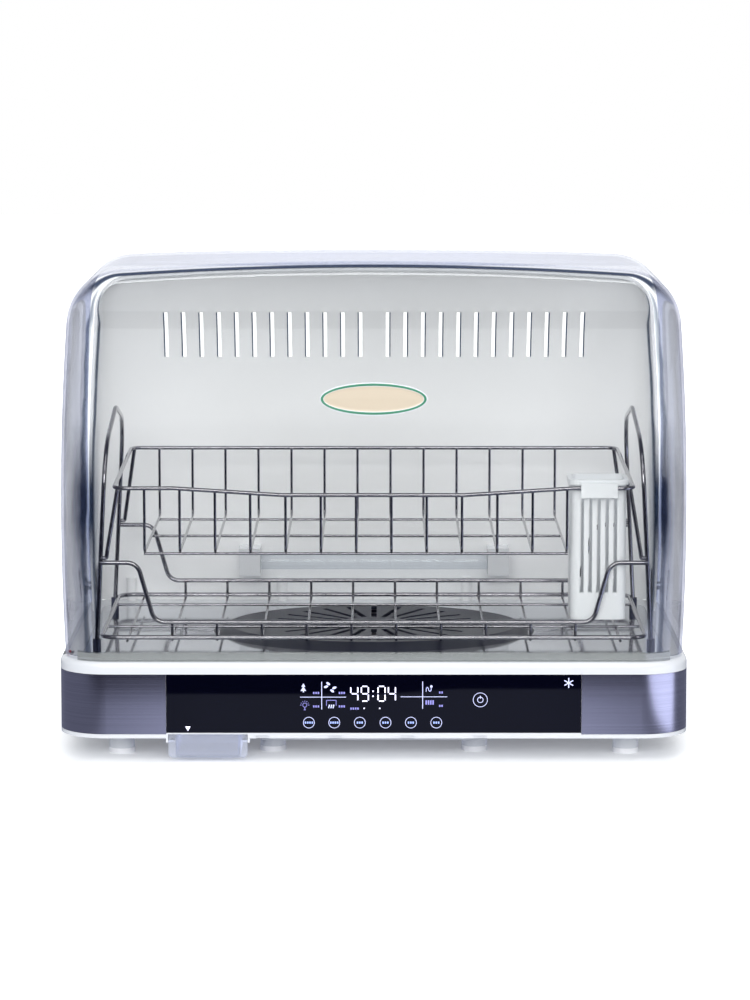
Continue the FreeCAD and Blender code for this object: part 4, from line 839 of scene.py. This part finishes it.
def laid(kind, width, height, turn):
    # sizes the newly added flat mark, turns it on the glass and files it under its kind
    piece = bpy.context.object
    piece.scale = (width, height, 1)
    bpy.ops.object.transform_apply(location=False, rotation=True, scale=True)
    piece.rotation_euler = (0, turn, 0)
    bpy.ops.object.transform_apply(location=True, rotation=True, scale=True)
    marks[kind].append(piece)


def bar(kind, x, z, width, height, turn=0.0):
    deselectAll()
    bpy.ops.mesh.primitive_plane_add(size=1, location=(x, panelForm["face"], z),
                                     rotation=(math.pi / 2, 0, 0))
    laid(kind, width, height, turn)


def disc(kind, x, z, radius, line=0.0, vertices=48, squash=1.0, turn=0.0):
    # a filled disc, or a ring where a line width is given
    deselectAll()
    bpy.ops.mesh.primitive_circle_add(vertices=vertices, radius=radius, fill_type="NGON",
                                      location=(x, panelForm["face"], z),
                                      rotation=(math.pi / 2, 0, 0))
    laid(kind, 1, squash, turn)
    if line:
        bpy.ops.object.mode_set(mode="EDIT")
        bpy.ops.mesh.select_all(action="SELECT")
        bpy.ops.mesh.inset(thickness=line, depth=0)
        bpy.ops.mesh.delete(type="FACE")
        bpy.ops.object.mode_set(mode="OBJECT")


def stroke(kind, x, z, line, *points):
    # a thin line through points given from its centre
    for (x1, z1), (x2, z2) in zip(points, points[1:]):
        length = math.hypot(x2 - x1, z2 - z1) + line * 0.7
        bar(kind, x + (x1 + x2) / 2, z + (z1 + z2) / 2, length, line,
            -math.atan2(z2 - z1, x2 - x1))


def legend(kind, x, z, count, tall=0.0018):
    # a row of plain dashes that stands for a printed word
    wide, pitch = panelForm["dash"]
    for step in range(count):
        bar(kind, x + (step - (count - 1) / 2) * pitch, z, wide, tall)


def digit(kind, x, z, value):
    # a lit digit of thin separate segments
    half, quarter = panelForm["digitHeight"] / 2, panelForm["digitHeight"] / 4
    width, line = panelForm["digitWidth"], panelForm["digitLine"]
    long, tall = width - line * 1.7, half - line * 1.6
    places = {
        "a": (0, half, long, line), "g": (0, 0, long, line), "d": (0, -half, long, line),
        "f": (-width / 2, quarter, line, tall), "b": (width / 2, quarter, line, tall),
        "e": (-width / 2, -quarter, line, tall), "c": (width / 2, -quarter, line, tall),
    }
    for name in segmentsOfDigit[value]:
        dx, dz, wide, high = places[name]
        bar(kind, x + dx, z + dz, wide, high)


def treeIcon(x, z):
    disc("line", x, z + 0.0032, 0.0020, vertices=3)
    disc("line", x, z, 0.0028, vertices=3)
    bar("line", x, z - 0.0020, 0.0010, 0.0013)


def fanIcon(x, z):
    for degrees in (118, 172, 298, 352):
        angle = math.radians(degrees)
        disc("line", x + 0.0036 * math.cos(angle), z + 0.0036 * math.sin(angle), 0.0019,
             squash=0.55, turn=-angle - 0.5, vertices=20)


def bulbIcon(x, z):
    disc("dim", x, z, 0.0020, 0.0004, 24)
    bar("dim", x, z - 0.0028, 0.0006, 0.0016)
    bar("dim", x, z - 0.0042, 0.0018, 0.0006)
    for step in range(7):
        angle = math.pi * (step / 6)
        bar("dim", x + 0.0034 * math.cos(angle), z + 0.0034 * math.sin(angle), 0.0010, 0.0004,
            -angle)


def heaterIcon(x, z):
    stroke("dim", x, z, 0.0005, (-0.0042, -0.0024), (-0.0042, 0.0022), (0.0042, 0.0022),
           (0.0042, -0.0024))
    for dx in (-0.0019, 0, 0.0019):
        bar("line", x + dx, z - 0.0032, 0.0010, 0.0032, 0.25)


def hoseIcon(x, z):
    stroke("line", x, z, 0.0005, (-0.0029, -0.0020), (-0.0028, 0.0006), (-0.0020, 0.0018),
           (-0.0010, 0.0010), (-0.0006, -0.0010), (0.0004, -0.0020), (0.0014, -0.0010),
           (0.0016, 0.0018))
    disc("line", x + 0.0016, z + 0.0024, 0.0011, vertices=20)


def powerIcon(x, z, radius):
    disc("line", x, z, radius, panelForm["keyLine"])
    disc("line", x, z, radius * 0.42, 0.0005, 32)
    bar("line", x, z + radius * 0.36, 0.0006, 0.0026)


def starIcon(x, z):
    for degrees in (90, 150, 210):
        bar("line", x, z, 0.0088, 0.0009, math.radians(degrees))


def panelMarks():
    for x, low, high in panelForm["posts"]:
        bar("line", x, (low + high) / 2, 0.0006, high - low)
    for x, z, width in panelForm["rules"]:
        bar("line", x, z, width, 0.0005)
    for x, letters in panelForm["keys"]:
        disc("line", x, panelForm["keyZ"], panelForm["keyRadius"], panelForm["keyLine"])
        legend("key", x, panelForm["keyZ"], letters)
    for x, value in panelForm["digits"]:
        digit("bright", x, panelForm["digitZ"], value)
    for x, z in panelForm["colon"]:
        bar("bright", x, z, 0.0012, 0.0012)
    for x, z in panelForm["dots"]:
        disc("bright", x, z, 0.0006, vertices=16)
    treeIcon(*panelForm["tree"])
    fanIcon(*panelForm["fan"])
    bulbIcon(*panelForm["bulb"])
    heaterIcon(*panelForm["heater"])
    hoseIcon(*panelForm["hose"])
    powerIcon(*panelForm["power"])
    legend("dim", *panelForm["tallLegend"], 4, tall=0.0038)
    for x, z, count in panelForm["legends"]:
        legend("dim", x, z, count)
    starIcon(*panelForm["star"])
    disc("bright", *panelForm["boxMark"], 0.0026, vertices=3, turn=math.pi)
    looks = {
        "line": glowing("markLine", (0.55, 0.58, 0.85), 0.75),
        "bright": glowing("markBright", (0.80, 0.80, 1.0), 1.6),
        "dim": glowing("markDim", (0.25, 0.24, 0.62), 0.55),
        "key": glowing("markKey", (0.32, 0.42, 0.85), 0.7),
    }
    for kind, parts in marks.items():
        piece = joined("panel_marks_" + kind, parts)
        solid = piece.modifiers.new("Film", "SOLIDIFY")
        solid.thickness = panelForm["thick"]
        applyAll(piece)
        settle(piece, "cabinet", looks[kind])


panelMarks()

print("done")
